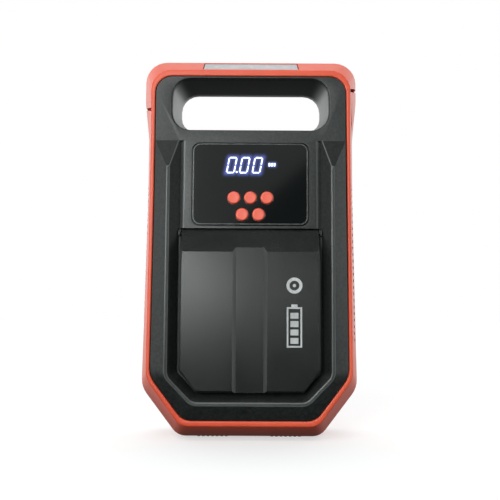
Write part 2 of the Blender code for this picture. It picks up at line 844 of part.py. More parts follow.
def make_flap(name, side, notch_z, cutters):
    """A flap cut out of the housing's skin. It hinges along its rear edge."""
    crest_z = notch_z + NOTCH_RISE * (CREST_FRONT - RIM_FRONT)
    share = (min(crest_z, SHOULDER) - WAIST_HIGH) / (SHOULDER - WAIST_HIGH)
    hinge_x = side * (CREST[1] + share * (CREST[0] - CREST[1]))
    flap = make_object(name, housing_solid(0.0), (ORANGE, 0.5, 0.0), (hinge_x, FLAP_BACK, FLAP_LOW))
    combine(flap, cutters[name + "_region"], "INTERSECT")
    combine(flap, cutters["flap_inside"])


def socket_block(x_mouth, x_back, z_mid, width, height):
    """A hollow socket that opens at x_mouth."""
    inner_x = x_mouth + math.copysign(SOCKET_DEPTH, x_back - x_mouth)

    def rectangle(x, shrink):
        y0, y1 = SOCKET_Y - width / 2.0 + shrink, SOCKET_Y + width / 2.0 - shrink
        z0, z1 = z_mid - height / 2.0 + shrink, z_mid + height / 2.0 - shrink
        return [(x, y0, z0), (x, y1, z0), (x, y1, z1), (x, y0, z1)]

    stations = ((x_back, 0.0), (x_mouth, 0.0), (x_mouth, SOCKET_WALL), (inner_x, SOCKET_WALL))
    return loft([rectangle(x, shrink) for x, shrink in stations])


# Name, height of the middle, width and height of each socket on the left.
LEFT_SOCKETS = [
    ("usb_socket_upper", 198.5, 14.0, 6.6),
    ("usb_socket_lower", 188.5, 14.0, 6.6),
    ("usb_c_socket", 179.5, 9.6, 4.2),
]


def socket_clearance():
    bm = bmesh.new()
    for _, z, width, height in LEFT_SOCKETS:
        half_w = width / 2.0 + GAP
        half_h = height / 2.0 + GAP
        merge(bm, box(-70.0, -60.0, SOCKET_Y - half_w, SOCKET_Y + half_w, z - half_h, z + half_h))
    return bm


def make_left_sockets(cutters):
    top = LEFT_NOTCH_Z + BEZEL_ABOVE_NOTCH
    bezel = box(-BEZEL_OUTER, -BEZEL_INNER, BEZEL_FRONT, BEZEL_REAR, BEZEL_LOW, top)
    combine(make_object("port_bezel", bezel, (DARK, 0.5, 0.0)), cutters["socket_clearance"])
    for name, z, width, height in LEFT_SOCKETS:
        make_object(name, socket_block(-SOCKET_MOUTH, -SOCKET_BACK, z, width, height), (STEEL, 0.35, 1.0))
    face = -SOCKET_BACK + GAP
    board = box(face, face + BOARD_THICK, SOCKET_Y - 12.0, SOCKET_Y + 12.0, BEZEL_LOW + 1.0, WAIST_HIGH)
    make_object("charging_board", board, (BOARD_GREEN, 0.5, 0.0))


def make_right_socket(cutters):
    top = RIGHT_NOTCH_Z + BEZEL_ABOVE_NOTCH
    bezel = box(BEZEL_INNER, BEZEL_OUTER, BEZEL_FRONT, BEZEL_REAR, BEZEL_LOW, top)
    combine(make_object("jump_bezel", bezel, (DARK, 0.5, 0.0)), cutters["jump_clearance"])
    block = jump_block(SOCKET_BACK, SOCKET_MOUTH, 0.0)
    combine(make_object("jump_socket", block, (DARK, 0.4, 0.0)), cutters["jump_holes"])


def jump_block(x0, x1, grow):
    """The jump lead socket's block, grown in width and height."""
    half_w = JUMP_HALF_WIDE + grow
    half_h = JUMP_HALF_HIGH + grow
    return box(x0, x1, SOCKET_Y - half_w, SOCKET_Y + half_w, JUMP_Z - half_h, JUMP_Z + half_h)


def jump_hole_cutters():
    bm = bmesh.new()
    for y in (SOCKET_Y - JUMP_HOLE_OFFSET, SOCKET_Y + JUMP_HOLE_OFFSET):
        hole = circle(y, JUMP_Z, JUMP_HOLE_R, 14)
        merge(bm, prism(hole, "X", SOCKET_MOUTH - 11.0, SOCKET_MOUTH + 2.0))
    return bm


# ---------------------------------------------------------------- battery

def make_battery():
    for i in range(CELL_COUNT):
        y = i * (CELL_THICK + GAP)
        cell = box(CELL_OUTER_X, CELL_INNER_X, y, y + CELL_THICK, CELL_LOW, CELL_HIGH)
        make_object(f"battery_cell_{i + 1}", cell, (FOIL, 0.35, 0.6))
    shelf = CELL_LOW - GAP
    side = CELL_INNER_X + GAP
    outer = CELL_OUTER_X - 1.0
    angle = [
        (outer, shelf - HOLDER_WALL),
        (side + HOLDER_SIDE_WALL, shelf - HOLDER_WALL),
        (side + HOLDER_SIDE_WALL, HOLDER_TOP),
        (side, HOLDER_TOP),
        (side, shelf),
        (outer, shelf),
    ]
    make_object("battery_holder", prism(angle, "Y", -1.5, 29.2), (DARK, 0.6, 0.0))
    low = CELL_HIGH + 2.0
    board = box(CELL_OUTER_X + 1.0, CELL_INNER_X - 1.0, 2.0, 27.0, low, low + BOARD_THICK)
    make_object("battery_board", board, (BOARD_GREEN, 0.5, 0.0))


# ---------------------------------------------------------------- pump

def toothed(teeth, root, tip, root_half, tip_half, centre):
    """A toothed outline with straight flanks. Tooth 0 points along the first axis."""
    outline = []
    for i in range(teeth):
        middle = 2.0 * math.pi * i / teeth
        corners = [(root, -root_half / root), (tip, -tip_half / tip)]
        corners += [(tip, tip_half / tip), (root, root_half / root)]
        for radius, turn in corners:
            u = centre[0] + radius * math.cos(middle + turn)
            v = centre[1] + radius * math.sin(middle + turn)
            outline.append((u, v))
    return outline


def spur_gear(teeth, centre, x0, x1):
    pitch_r = TOOTH_MODULE * teeth / 2.0
    pitch = math.pi * TOOTH_MODULE
    root = pitch_r - TOOTH_MODULE
    tip = pitch_r + 0.7 * TOOTH_MODULE
    outline = toothed(teeth, root, tip, 0.25 * pitch, 0.09 * pitch, centre)
    return prism(outline, "X", x0, x1)


def gear_centre_z():
    return MOTOR_Z + TOOTH_MODULE * (PINION_TEETH + GEAR_TEETH) / 2.0


def make_motor(cutters):
    front_x = MOTOR_REAR_X + MOTOR_LENGTH
    profile = [
        (MOTOR_REAR_X, MOTOR_R - 1.0),
        (MOTOR_REAR_X + 1.0, MOTOR_R),
        (front_x - 1.0, MOTOR_R),
        (front_x, MOTOR_R - 1.0),
    ]
    motor = turned(profile, "X", (PUMP_Y, MOTOR_Z), 24)
    shade_round(make_object("pump_motor", motor, (STEEL, 0.35, 1.0)))
    pivot = (GEAR_FRONT_X, PUMP_Y, MOTOR_Z)
    pinion = spur_gear(PINION_TEETH, (PUMP_Y, MOTOR_Z), GEAR_FRONT_X, GEAR_BACK_X)
    combine(make_object("motor_pinion", pinion, (STEEL, 0.3, 1.0), pivot), cutters["shaft"], "UNION")
    blades = toothed(FAN_BLADES, 4.5, MOTOR_R - 1.0, 1.2, 1.0, (PUMP_Y, MOTOR_Z))
    fan = prism(blades, "X", FAN_X, FAN_X + FAN_THICK)
    make_object("motor_fan", fan, (DARK, 0.5, 0.0), (FAN_X, PUMP_Y, MOTOR_Z))


def make_crank(cutters):
    centre = (PUMP_Y, gear_centre_z())
    gear = spur_gear(GEAR_TEETH, centre, GEAR_FRONT_X, GEAR_BACK_X)
    crank = make_object("crank_gear", gear, (CLEAR_GREY, 0.5, 0.0), (GEAR_FRONT_X, *centre))
    combine(crank, cutters["gear_bore"])
    combine(crank, cutters["crank_pin"], "UNION")


def make_rod_and_piston(cutters):
    low = gear_centre_z() + CRANK_R
    neck = low + ROD_EYE_R + 1.0
    high = CYLINDER_HIGH - PISTON_DROP
    turns = [math.radians(150.0 + i * 24.0) for i in range(11)]
    eye = [(PUMP_Y + ROD_EYE_R * math.cos(a), low + ROD_EYE_R * math.sin(a)) for a in turns]
    near, far = PUMP_Y - ROD_HALF, PUMP_Y + ROD_HALF
    outline = eye + [(far, neck), (far, high), (near, high), (near, neck)]
    body = prism(outline, "X", ROD_X - ROD_THICK / 2.0, ROD_X + ROD_THICK / 2.0)
    combine(make_object("connecting_rod", body, (ALLOY, 0.4, 1.0)), cutters["rod_eye"])
    low = high + GAP
    piston = prism(circle(ROD_X, PUMP_Y, BORE_R - GAP, 24), "Z", low, low + PISTON_HIGH)
    shade_round(make_object("piston", piston, (ALLOY, 0.35, 1.0)))


def make_cylinder():
    rings = []
    inside = [(BORE_R, CYLINDER_LOW), (BORE_R, CYLINDER_HIGH)]
    outside = [(CYLINDER_R, CYLINDER_HIGH), (CYLINDER_R, CYLINDER_LOW)]
    for radius, z in inside + outside:
        rings.append([(x, y, z) for x, y in circle(ROD_X, PUMP_Y, radius, 24)])
    shade_round(make_object("cylinder", loft(rings, closed=True), (ALLOY, 0.4, 1.0)))
    low = CYLINDER_HIGH + GAP
    half = CYLINDER_R + 0.2
    head = box(ROD_X - half, ROD_X + half, PUMP_Y - CYLINDER_R, PUMP_Y + CYLINDER_R, low, low + HEAD_HIGH)
    make_object("cylinder_head", head, (ALLOY, 0.45, 1.0))


def make_pump_frame(cutters):
    wall_x = PUMP_FRAME_FAR_X - PUMP_FRAME_WALL
    shelf = PUMP_FRAME_LOW + PUMP_FRAME_WALL
    angle = [
        (PUMP_FRAME_NEAR_X, PUMP_FRAME_LOW),
        (PUMP_FRAME_FAR_X, PUMP_FRAME_LOW),
        (PUMP_FRAME_FAR_X, PUMP_FRAME_HIGH),
        (wall_x, PUMP_FRAME_HIGH),
        (wall_x, shelf),
        (PUMP_FRAME_NEAR_X, shelf),
    ]
    frame = make_object("pump_frame", prism(angle, "Y", 1.0, 29.0), (ALLOY, 0.5, 1.0))
    combine(frame, cutters["axle"], "UNION")


# ---------------------------------------------------------------- cutters and assembly

def make_cutters():
    centre = (PUMP_Y, gear_centre_z())
    pin_place = (PUMP_Y, gear_centre_z() + CRANK_R)
    motor_front = MOTOR_REAR_X + MOTOR_LENGTH
    rod_side = ROD_X + ROD_THICK / 2.0
    slot = rounded(-SLOT_HALF, SLOT_HALF, SLOT_LOW, SLOT_HIGH, SLOT_RADIUS, 5)
    grow = LINER_WALL + LINER_CLEAR
    exit_half = SLOT_HALF + grow
    slot_exit = rounded(-exit_half, exit_half, REAR_LOW - grow, REAR_HIGH + grow, SLOT_RADIUS + grow, 5)
    hole_half = WINDOW_HALF + 0.5
    window = rounded(-hole_half, hole_half, WINDOW_LOW - 0.5, WINDOW_HIGH + 0.5, WINDOW_RADIUS, 5)
    shapes = {
        "left_pocket": flap_prism(-1.0, LEFT_NOTCH_Z, 0.4),
        "right_pocket": flap_prism(1.0, RIGHT_NOTCH_Z, 0.4),
        "port_cover_region": flap_prism(-1.0, LEFT_NOTCH_Z, 0.0),
        "jump_socket_cover_region": flap_prism(1.0, RIGHT_NOTCH_Z, 0.0),
        "flap_inside": housing_solid(FLAP_THICK),
        "left_groove": notch_groove(-1.0, LEFT_NOTCH_Z),
        "right_groove": notch_groove(1.0, RIGHT_NOTCH_Z),
        "light_pocket": slope_block(LIGHT_HALF + 0.5, 0.10, 0.94, -3.0, 7.5),
        "vents": vent_cutters(),
        "feet": foot_cutters(),
        "slot_entry": prism(slot, "Y", RIM_FRONT - 4.0, RIM_FRONT + 6.0),
        "slot_exit": prism(slot_exit, "Y", BACK_FACE - 8.0, BACK_FACE + 4.0),
        "screw_holes": screw_hole_cutters(),
        "window_hole": prism(window, "Y", RIM_FRONT - 4.0, RIM_FRONT + 6.0),
        "button_holes": button_hole_cutters(),
        "channel": channel_cutter(),
        "hinge_ears": hinge_ears(),
        "hinge_bore": prism(circle(HINGE_Y, HINGE_Z, HINGE_BORE_R, 10), "X", -60.0, 60.0),
        "outlet_hole": prism(circle(ROD_X, OUTLET_Z, 3.2, 14), "Y", TRAY_BACK - 6.0, TRAY_BACK + 3.0),
        "switches": switch_blocks(),
        "leds": led_blocks(),
        "socket_clearance": socket_clearance(),
        "jump_clearance": jump_block(60.0, 70.0, GAP),
        "jump_holes": jump_hole_cutters(),
        "shaft": prism(circle(PUMP_Y, MOTOR_Z, SHAFT_R, 12), "X", motor_front + GAP, GEAR_BACK_X + 0.6),
        "gear_bore": prism(circle(*centre, AXLE_R + 0.4, 14), "X", GEAR_FRONT_X - 3.0, GEAR_BACK_X + 3.0),
        "crank_pin": prism(circle(*pin_place, CRANK_PIN_R, 12), "X", rod_side + 0.4, GEAR_FRONT_X + 1.0),
        "rod_eye": prism(circle(*pin_place, CRANK_PIN_R + 0.6, 14), "X", rod_side - 6.0, rod_side + 2.0),
        "axle": prism(circle(*centre, AXLE_R, 12), "X", GEAR_FRONT_X - 0.2, 54.0),
    }
    return {name: make_cutter("cut_" + name, shape) for name, shape in shapes.items()}


def main():
    clear_scene()
    cutters = make_cutters()
    make_front_frame(cutters)
    make_rear_shell(cutters)
    make_front_cover(cutters)
    make_handle_liner()
    make_hose_bay_lid(cutters)
    make_tray(cutters)
    make_hinge_pin()
    make_air_outlet()
    make_window(cutters)
    make_buttons()
    make_control_board(cutters)
    make_work_light(cutters)
    make_flap("port_cover", -1.0, LEFT_NOTCH_Z, cutters)
    make_flap("jump_socket_cover", 1.0, RIGHT_NOTCH_Z, cutters)
    make_left_sockets(cutters)
    make_right_socket(cutters)
    make_battery()
    make_motor(cutters)
    make_crank(cutters)
    make_rod_and_piston(cutters)
    make_cylinder()
    make_pump_frame(cutters)
    make_screws()
    make_feet()


main()
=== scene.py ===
"""Looks of a jump starter pack with a built-in tyre compressor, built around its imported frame.

Lengths of pieces are written in millimetres and turned into metres where a mesh is made.
The pack faces -Y, stands on Z = 0 and has its carrying slot at the top.
"""

import json
import math

import bmesh
import bpy
from mathutils import Matrix, Vector


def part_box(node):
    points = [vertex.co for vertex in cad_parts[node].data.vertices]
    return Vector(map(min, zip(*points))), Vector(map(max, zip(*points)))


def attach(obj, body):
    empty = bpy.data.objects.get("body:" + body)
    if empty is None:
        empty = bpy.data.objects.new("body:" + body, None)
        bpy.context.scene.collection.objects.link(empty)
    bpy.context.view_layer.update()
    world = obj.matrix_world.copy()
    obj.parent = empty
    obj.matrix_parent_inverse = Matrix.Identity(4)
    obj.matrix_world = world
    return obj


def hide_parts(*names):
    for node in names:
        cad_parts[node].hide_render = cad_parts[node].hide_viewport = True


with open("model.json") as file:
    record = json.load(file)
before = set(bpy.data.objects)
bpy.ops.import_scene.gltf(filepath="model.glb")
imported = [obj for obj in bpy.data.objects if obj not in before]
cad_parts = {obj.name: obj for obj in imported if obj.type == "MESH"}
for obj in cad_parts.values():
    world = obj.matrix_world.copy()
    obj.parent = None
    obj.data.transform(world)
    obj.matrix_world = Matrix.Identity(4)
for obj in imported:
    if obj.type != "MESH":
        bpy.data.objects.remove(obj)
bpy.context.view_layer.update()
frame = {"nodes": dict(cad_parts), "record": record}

MM = 0.001
RIM_FRONT = -27.0
WINDOW_FRONT = -27.3
BACK_FACE = 37.0

# Places of a cover's finishes: edges with a painted highlight come second, faces with painted shade third.
PAINTED_HIGHLIGHT = 1
PAINTED_SHADE = 2

HOUSING = "housing"
LID = "lid"

# Linear colours of the mouldings, metals and prints.
ORANGE = (0.800, 0.105, 0.046)
ORANGE_DEEP = (0.700, 0.078, 0.032)
ORANGE_WORN = (0.880, 0.240, 0.150)
BLACK = (0.0085, 0.0115, 0.0110)
BLACK_DEEP = (0.0050, 0.0072, 0.0068)
BLACK_WORN = (0.085, 0.092, 0.090)
LID_BLACK = (0.0043, 0.0057, 0.0055)
LID_BLACK_DEEP = (0.0025, 0.0036, 0.0034)
DUST_GREY = (0.30, 0.29, 0.27)
PRINT_WHITE = (0.62, 0.64, 0.64)


# ---------------------------------------------------------------- shader nodes

def add(tree, kind, **settings):
    """Adds one shader node and gives its settings. Numbered or named sockets come in values."""
    values = settings.pop("values", {})
    node = tree.nodes.new("ShaderNode" + kind)
    for name, value in settings.items():
        setattr(node, name, value)
    for name, value in values.items():
        node.inputs[name].default_value = value
    return node


def wire(tree, *pairs):
    """Links each (output, input) pair."""
    for source, target in pairs:
        tree.links.new(source, target)


def effect(name, inputs, outputs):
    """Starts a shader node group with named sockets. Inputs are (label, default value)."""
    group = bpy.data.node_groups.new(name, "ShaderNodeTree")
    for label, value in inputs:
        socket = group.interface.new_socket(label, in_out="INPUT", socket_type="NodeSocketFloat")
        socket.default_value = value
    for label in outputs:
        group.interface.new_socket(label, in_out="OUTPUT", socket_type="NodeSocketFloat")
    return group, group.nodes.new("NodeGroupInput"), group.nodes.new("NodeGroupOutput")


def maths(tree, operation, first, second=None, clamp=False):
    """A Math node whose operands are sockets or plain numbers. Returns its output."""
    node = add(tree, "Math", operation=operation, use_clamp=clamp)
    for index, operand in enumerate((first, second)):
        if operand is None:
            continue
        if isinstance(operand, (int, float)):
            node.inputs[index].default_value = operand
        else:
            tree.links.new(operand, node.inputs[index])
    return node.outputs[0]


def spread(tree, source, low, high, new_low, new_high):
    """Maps a value from one range to another, held at its ends."""
    node = add(tree, "MapRange", clamp=True)
    for index, value in enumerate((low, high, new_low, new_high), start=1):
        node.inputs[index].default_value = value
    tree.links.new(source, node.inputs[0])
    return node.outputs[0]


def spark_grain():
    """The fine pitted texture that a spark-eroded mould leaves."""
    group, given, result = effect("spark_grain", [("Pitch", 1400.0)], ["Height", "Speckle"])
    place = add(group, "TexCoord")
    pits = add(group, "TexVoronoi", feature="SMOOTH_F1")
    pits.inputs["Smoothness"].default_value = 0.6
    rough = add(group, "TexNoise", values={"Detail": 2.0, "Roughness": 0.6})
    wire(
        group,
        (place.outputs["Object"], pits.inputs["Vector"]),
        (place.outputs["Object"], rough.inputs["Vector"]),
        (given.outputs["Pitch"], pits.inputs["Scale"]),
        (maths(group, "MULTIPLY", given.outputs["Pitch"], 0.55), rough.inputs["Scale"]),
    )
    height = maths(group, "MULTIPLY", pits.outputs["Distance"], 0.6)
    height = maths(group, "ADD", height, rough.outputs["Fac"])
    wire(
        group,
        (height, result.inputs["Height"]),
        (spread(group, rough.outputs["Fac"], 0.35, 0.65, 0.0, 1.0), result.inputs["Speckle"]),
    )
    return group


def moulding_flow():
    """Slow changes of shade over a moulding, from how the plastic filled the mould."""
    group, given, result = effect("moulding_flow", [("Scale", 22.0)], ["Shade"])
    place = add(group, "TexCoord")
    stretch = add(group, "Mapping")
    stretch.inputs["Scale"].default_value = (1.0, 1.0, 0.45)
    clouds = add(group, "TexNoise", values={"Detail": 3.0, "Roughness": 0.55, "Distortion": 0.4})
    wire(
        group,
        (place.outputs["Object"], stretch.inputs["Vector"]),
        (stretch.outputs["Vector"], clouds.inputs["Vector"]),
        (given.outputs["Scale"], clouds.inputs["Scale"]),
        (spread(group, clouds.outputs["Fac"], 0.3, 0.7, 0.0, 1.0), result.inputs["Shade"]),
    )
    return group


def edge_wear():
    """Where an edge has been rubbed: sharp corners, broken up by noise."""
    group, given, result = effect("edge_wear", [("Width", 0.0008), ("Break up", 260.0)], ["Mask"])
    place = add(group, "TexCoord")
    surface = add(group, "NewGeometry")
    softened = add(group, "Bevel", samples=4)
    facing = add(group, "VectorMath", operation="DOT_PRODUCT")
    chips = add(group, "TexNoise", values={"Detail": 3.0, "Roughness": 0.7})
    wire(
        group,
        (given.outputs["Width"], softened.inputs["Radius"]),
        (softened.outputs["Normal"], facing.inputs[0]),
        (surface.outputs["Normal"], facing.inputs[1]),
        (place.outputs["Object"], chips.inputs["Vector"]),
        (given.outputs["Break up"], chips.inputs["Scale"]),
    )
    corner = spread(group, facing.outputs["Value"], 0.995, 0.90, 0.0, 1.0)
    broken = spread(group, chips.outputs["Fac"], 0.38, 0.62, 0.15, 1.0)
    wire(group, (maths(group, "MULTIPLY", corner, broken), result.inputs["Mask"]))
    return group


def settled_dust():
    """A thin film of dust on faces that look up, thicker in patches."""
    group, given, result = effect("settled_dust", [("Patches", 60.0)], ["Mask"])
    place = add(group, "TexCoord")
    split = add(group, "SeparateXYZ")
    patches = add(group, "TexNoise", values={"Detail": 4.0, "Roughness": 0.65})
    wire(
        group,
        (place.outputs["Normal"], split.inputs["Vector"]),
        (place.outputs["Object"], patches.inputs["Vector"]),
        (given.outputs["Patches"], patches.inputs["Scale"]),
    )
    upward = spread(group, split.outputs["Z"], 0.2, 1.0, 0.0, 1.0)
    patchy = spread(group, patches.outputs["Fac"], 0.35, 0.7, 0.2, 1.0)
    wire(group, (maths(group, "MULTIPLY", upward, patchy), result.inputs["Mask"]))
    return group


def fine_scratches():
    """Hairline scratches in two directions, from wiping and handling."""
    group, given, result = effect("fine_scratches", [("Scale", 90.0)], ["Mask"])
    place = add(group, "TexCoord")
    strongest = None
    for turn in (0.5, -0.9):
        aim = add(group, "Mapping")
        aim.inputs["Rotation"].default_value = (0.0, turn, 0.0)
        aim.inputs["Scale"].default_value = (1.0, 1.0, 22.0)
        streaks = add(group, "TexNoise", values={"Detail": 2.0, "Distortion": 0.3})
        wire(
            group,
            (place.outputs["Object"], aim.inputs["Vector"]),
            (aim.outputs["Vector"], streaks.inputs["Vector"]),
            (given.outputs["Scale"], streaks.inputs["Scale"]),
        )
        line = spread(group, streaks.outputs["Fac"], 0.70, 0.78, 0.0, 1.0)
        strongest = line if strongest is None else maths(group, "MAXIMUM", strongest, line)
    wire(group, (strongest, result.inputs["Mask"]))
    return group


def drawn_lines():
    """Fine parallel lines along X, as on drawn, rolled or turned metal."""
    group, given, result = effect("drawn_lines", [("Pitch", 2600.0)], ["Shade"])
    place = add(group, "TexCoord")
    squeeze = add(group, "Mapping")
    squeeze.inputs["Scale"].default_value = (0.03, 1.0, 1.0)
    lines = add(group, "TexNoise", values={"Detail": 3.0, "Roughness": 0.7})
    wire(
        group,
        (place.outputs["Object"], squeeze.inputs["Vector"]),
        (squeeze.outputs["Vector"], lines.inputs["Vector"]),
        (given.outputs["Pitch"], lines.inputs["Scale"]),
        (spread(group, lines.outputs["Fac"], 0.3, 0.7, 0.0, 1.0), result.inputs["Shade"]),
    )
    return group


EFFECTS = {
    "grain": spark_grain(),
    "flow": moulding_flow(),
    "wear": edge_wear(),
    "dust": settled_dust(),
    "scratches": fine_scratches(),
    "lines": drawn_lines(),
}


def use(tree, name, **values):
    """Puts a shared effect into a material, with values for its inputs."""
    node = add(tree, "Group", node_tree=EFFECTS[name])
    for label, value in values.items():
        node.inputs[label].default_value = value
    return node


def mixed(tree, first, second, factor):
    """Mixes two colours, each a socket or an RGB triple, by a mask or number."""
    node = add(tree, "Mix", data_type="RGBA")
    for index, colour in ((6, first), (7, second)):
        if isinstance(colour, tuple):
            node.inputs[index].default_value = (*colour, 1.0)
        else:
            tree.links.new(colour, node.inputs[index])
    if isinstance(factor, (int, float)):
        node.inputs[0].default_value = factor
    else:
        tree.links.new(factor, node.inputs[0])
    return node.outputs[2]


def blank(name):
    """A new material, its tree and its shader."""
    result = bpy.data.materials.new(name)
    result.use_nodes = True
    return result, result.node_tree, result.node_tree.nodes["Principled BSDF"]


def paint(tree, shader, shade, gloss):
    """Feeds a shader its colour and its roughness."""
    wire(tree, (shade, shader.inputs["Base Color"]), (gloss, shader.inputs["Roughness"]))


def share(tree, effect_node, amount):
    """So much of an effect's mask."""
    return maths(tree, "MULTIPLY", effect_node.outputs["Mask"], amount)


def bumped(tree, height, depth, shader, strength=1.0):
    """Gives a shader a relief of so many millimetres."""
    bump = add(tree, "Bump", values={"Strength": strength, "Distance": depth * MM})
    wire(tree, (height, bump.inputs["Height"]), (bump.outputs["Normal"], shader.inputs["Normal"]))


def moulded(
    name, colour, deep, worn, rough, grain_pitch, grain_depth,
    wear=0.35, dust=0.08, speckle=0.0, specular=0.5,
):
    """A moulded plastic: flow shades, spark grain, rubbed edges, dust and a few scratches."""
    result, tree, shader = blank(name)
    shader.inputs["Specular IOR Level"].default_value = specular
    grain = use(tree, "grain", Pitch=grain_pitch)
    flow = use(tree, "flow", Scale=22.0)
    wear_and_painted_highlight = use(tree, "wear", Width=0.0006)
    settled = use(tree, "dust", Patches=70.0)
    scratched = use(tree, "scratches", Scale=70.0)
    shade = mixed(tree, deep, colour, flow.outputs["Shade"])
    shade = mixed(tree, shade, worn, maths(tree, "MULTIPLY", grain.outputs["Speckle"], speckle))
    shade = mixed(tree, shade, worn, maths(tree, "MULTIPLY", wear_and_painted_highlight.outputs["Mask"], wear))
    shade = mixed(tree, shade, DUST_GREY, maths(tree, "MULTIPLY", settled.outputs["Mask"], dust))
    gloss = spread(tree, flow.outputs["Shade"], 0.0, 1.0, rough - 0.03, rough + 0.04)
    gloss = maths(tree, "ADD", gloss, share(tree, settled, 0.12))
    gloss = maths(tree, "SUBTRACT", gloss, share(tree, wear_and_painted_highlight, 0.08))
    gloss = maths(tree, "ADD", gloss, share(tree, scratched, 0.012), clamp=True)
    paint(tree, shader, shade, gloss)
    bumped(tree, grain.outputs["Height"], grain_depth, shader)
    return result


def metal(name, colour, tarnish, rough, lines=2600.0):
    """A bare or plated metal with drawn lines, tarnish in patches and bright edges."""
    result, tree, shader = blank(name)
    shader.inputs["Metallic"].default_value = 1.0
    drawn = use(tree, "lines", Pitch=lines)
    flow = use(tree, "flow", Scale=60.0)
    wear_and_painted_highlight = use(tree, "wear", Width=0.0004)
    scratched = use(tree, "scratches", Scale=160.0)
    shade = mixed(tree, tarnish, colour, flow.outputs["Shade"])
    bright = tuple(min(1.0, channel * 1.25) for channel in colour)
    shade = mixed(tree, shade, bright, share(tree, wear_and_painted_highlight, 0.6))
    gloss = spread(tree, drawn.outputs["Shade"], 0.0, 1.0, rough - 0.06, rough + 0.1)
    gloss = maths(tree, "ADD", gloss, share(tree, scratched, 0.15), clamp=True)
    paint(tree, shader, shade, gloss)
    bumped(tree, drawn.outputs["Shade"], 0.01, shader, 0.6)
    return result


def object_axes(tree):
    """The X, Y and Z of a point on the pack, in metres."""
    place = add(tree, "TexCoord")
    split = add(tree, "SeparateXYZ")
    wire(tree, (place.outputs["Object"], split.inputs["Vector"]))
    return split.outputs


def near(tree, axis, centre, half, soft):
    """1 within half of centre along one axis, fading to 0 over soft. All in millimetres."""
    offset = maths(tree, "ABSOLUTE", maths(tree, "SUBTRACT", axis, centre * MM))
    return spread(tree, offset, half * MM, (half + soft) * MM, 1.0, 0.0)


# Lit figures in the window: the numerals, the point and the dashes, and the glow round them.
NUMERALS = (-12.6, -3.9, 4.7)
NUMERAL_Z = 183.2
NUMERAL_WIDE = 5.0
NUMERAL_HIGH = 10.2
STROKE = 0.98
SLANT = 0.19
FIGURE_THICK = 0.05
POINT_PLACE = (-9.2, 178.5)
POINT_RADIUS = 0.65
DASHES = (12.8, 14.5, 16.2)
DASH_Z = 183.6
DASH_HALF = 0.6
DASH_HIGH = 2.2
DASH_GLOW_HALF = (2.2, 0.9)
DASH_GLOW_SOFT = 2.4
GLOW_START = 0.2
GLOW_REACH = 4.2
GLOW_FALL = 2.6
GLOW_BLUE = (0.13, 0.17, 0.60)


def box_outline_distance(tree, beyond_end, beyond_side):
    """Distance from a rectangle's outline, given how far a point lies past its ends and sides."""
    outside_end = maths(tree, "MAXIMUM", beyond_end, 0.0)
    outside_side = maths(tree, "MAXIMUM", beyond_side, 0.0)
    end_square = maths(tree, "POWER", outside_end, 2.0)
    side_square = maths(tree, "POWER", outside_side, 2.0)
    outside = maths(tree, "SQRT", maths(tree, "ADD", end_square, side_square))
    inside = maths(tree, "MINIMUM", maths(tree, "MAXIMUM", beyond_end, beyond_side), 0.0)
    return maths(tree, "SUBTRACT", outside, inside)


def smoked_window():
    """Glossy smoked acrylic. The lit figures behind it spread a blue glow into the sheet."""
    result, tree, shader = blank("smoked_acrylic")
    axes = object_axes(tree)
    flow = use(tree, "flow", Scale=18.0)
    scratched = use(tree, "scratches", Scale=120.0)
    settled = use(tree, "dust", Patches=90.0)
    wear_and_painted_highlight = use(tree, "wear", Width=0.0004)
    shade = mixed(tree, (0.0030, 0.0042, 0.0042), (0.0050, 0.0064, 0.0064), flow.outputs["Shade"])
    shade = mixed(tree, shade, (0.11, 0.12, 0.12), share(tree, wear_and_painted_highlight, 0.5))
    shade = mixed(tree, shade, DUST_GREY, share(tree, settled, 0.05))
    gloss = spread(tree, scratched.outputs["Mask"], 0.0, 1.0, 0.09, 0.13)
    rise = maths(tree, "SUBTRACT", axes["Z"], NUMERAL_Z * MM)
    upright = maths(tree, "SUBTRACT", axes["X"], maths(tree, "MULTIPLY", rise, SLANT))
    beyond_end = maths(tree, "SUBTRACT", maths(tree, "ABSOLUTE", rise), NUMERAL_HIGH / 2.0 * MM)
    half_wide, half_high = DASH_GLOW_HALF
    by_height = near(tree, axes["Z"], DASH_Z, half_high, DASH_GLOW_SOFT)
    by_side = near(tree, axes["X"], DASHES[1], half_wide, DASH_GLOW_SOFT)
    glow = maths(tree, "MULTIPLY", by_height, by_side)
    for centre in NUMERALS:
        aside = maths(tree, "ABSOLUTE", maths(tree, "SUBTRACT", upright, centre * MM))
        beyond_side = maths(tree, "SUBTRACT", aside, NUMERAL_WIDE / 2.0 * MM)
        from_stroke = box_outline_distance(tree, beyond_end, beyond_side)
        halo = spread(tree, from_stroke, GLOW_START * MM, GLOW_REACH * MM, 1.0, 0.0)
        glow = maths(tree, "MAXIMUM", glow, halo)
    glow = maths(tree, "POWER", glow, GLOW_FALL)
    light = mixed(tree, (0.0, 0.0, 0.0), GLOW_BLUE, glow)
    paint(tree, shader, shade, gloss)
    wire(tree, (light, shader.inputs["Emission Color"]))
    shader.inputs["Emission Strength"].default_value = 1.0
    bumped(tree, scratched.outputs["Mask"], 0.002, shader, 0.3)
    return result


def lit_figure():
    """The lit strokes of the numerals, a little uneven in their light."""
    result, tree, shader = blank("lit_figure")
    flow = use(tree, "flow", Scale=400.0)
    light = mixed(tree, (0.72, 0.82, 1.0), (0.95, 0.98, 1.0), flow.outputs["Shade"])
    gloss = spread(tree, flow.outputs["Shade"], 0.0, 1.0, 0.25, 0.35)
    paint(tree, shader, light, gloss)
    wire(tree, (light, shader.inputs["Emission Color"]))
    shader.inputs["Emission Strength"].default_value = 1.1
    return result


# LEDs of the work light: distance between them, and how deep they sit.
LED_PITCH = 11.9
LED_Y = -15.0


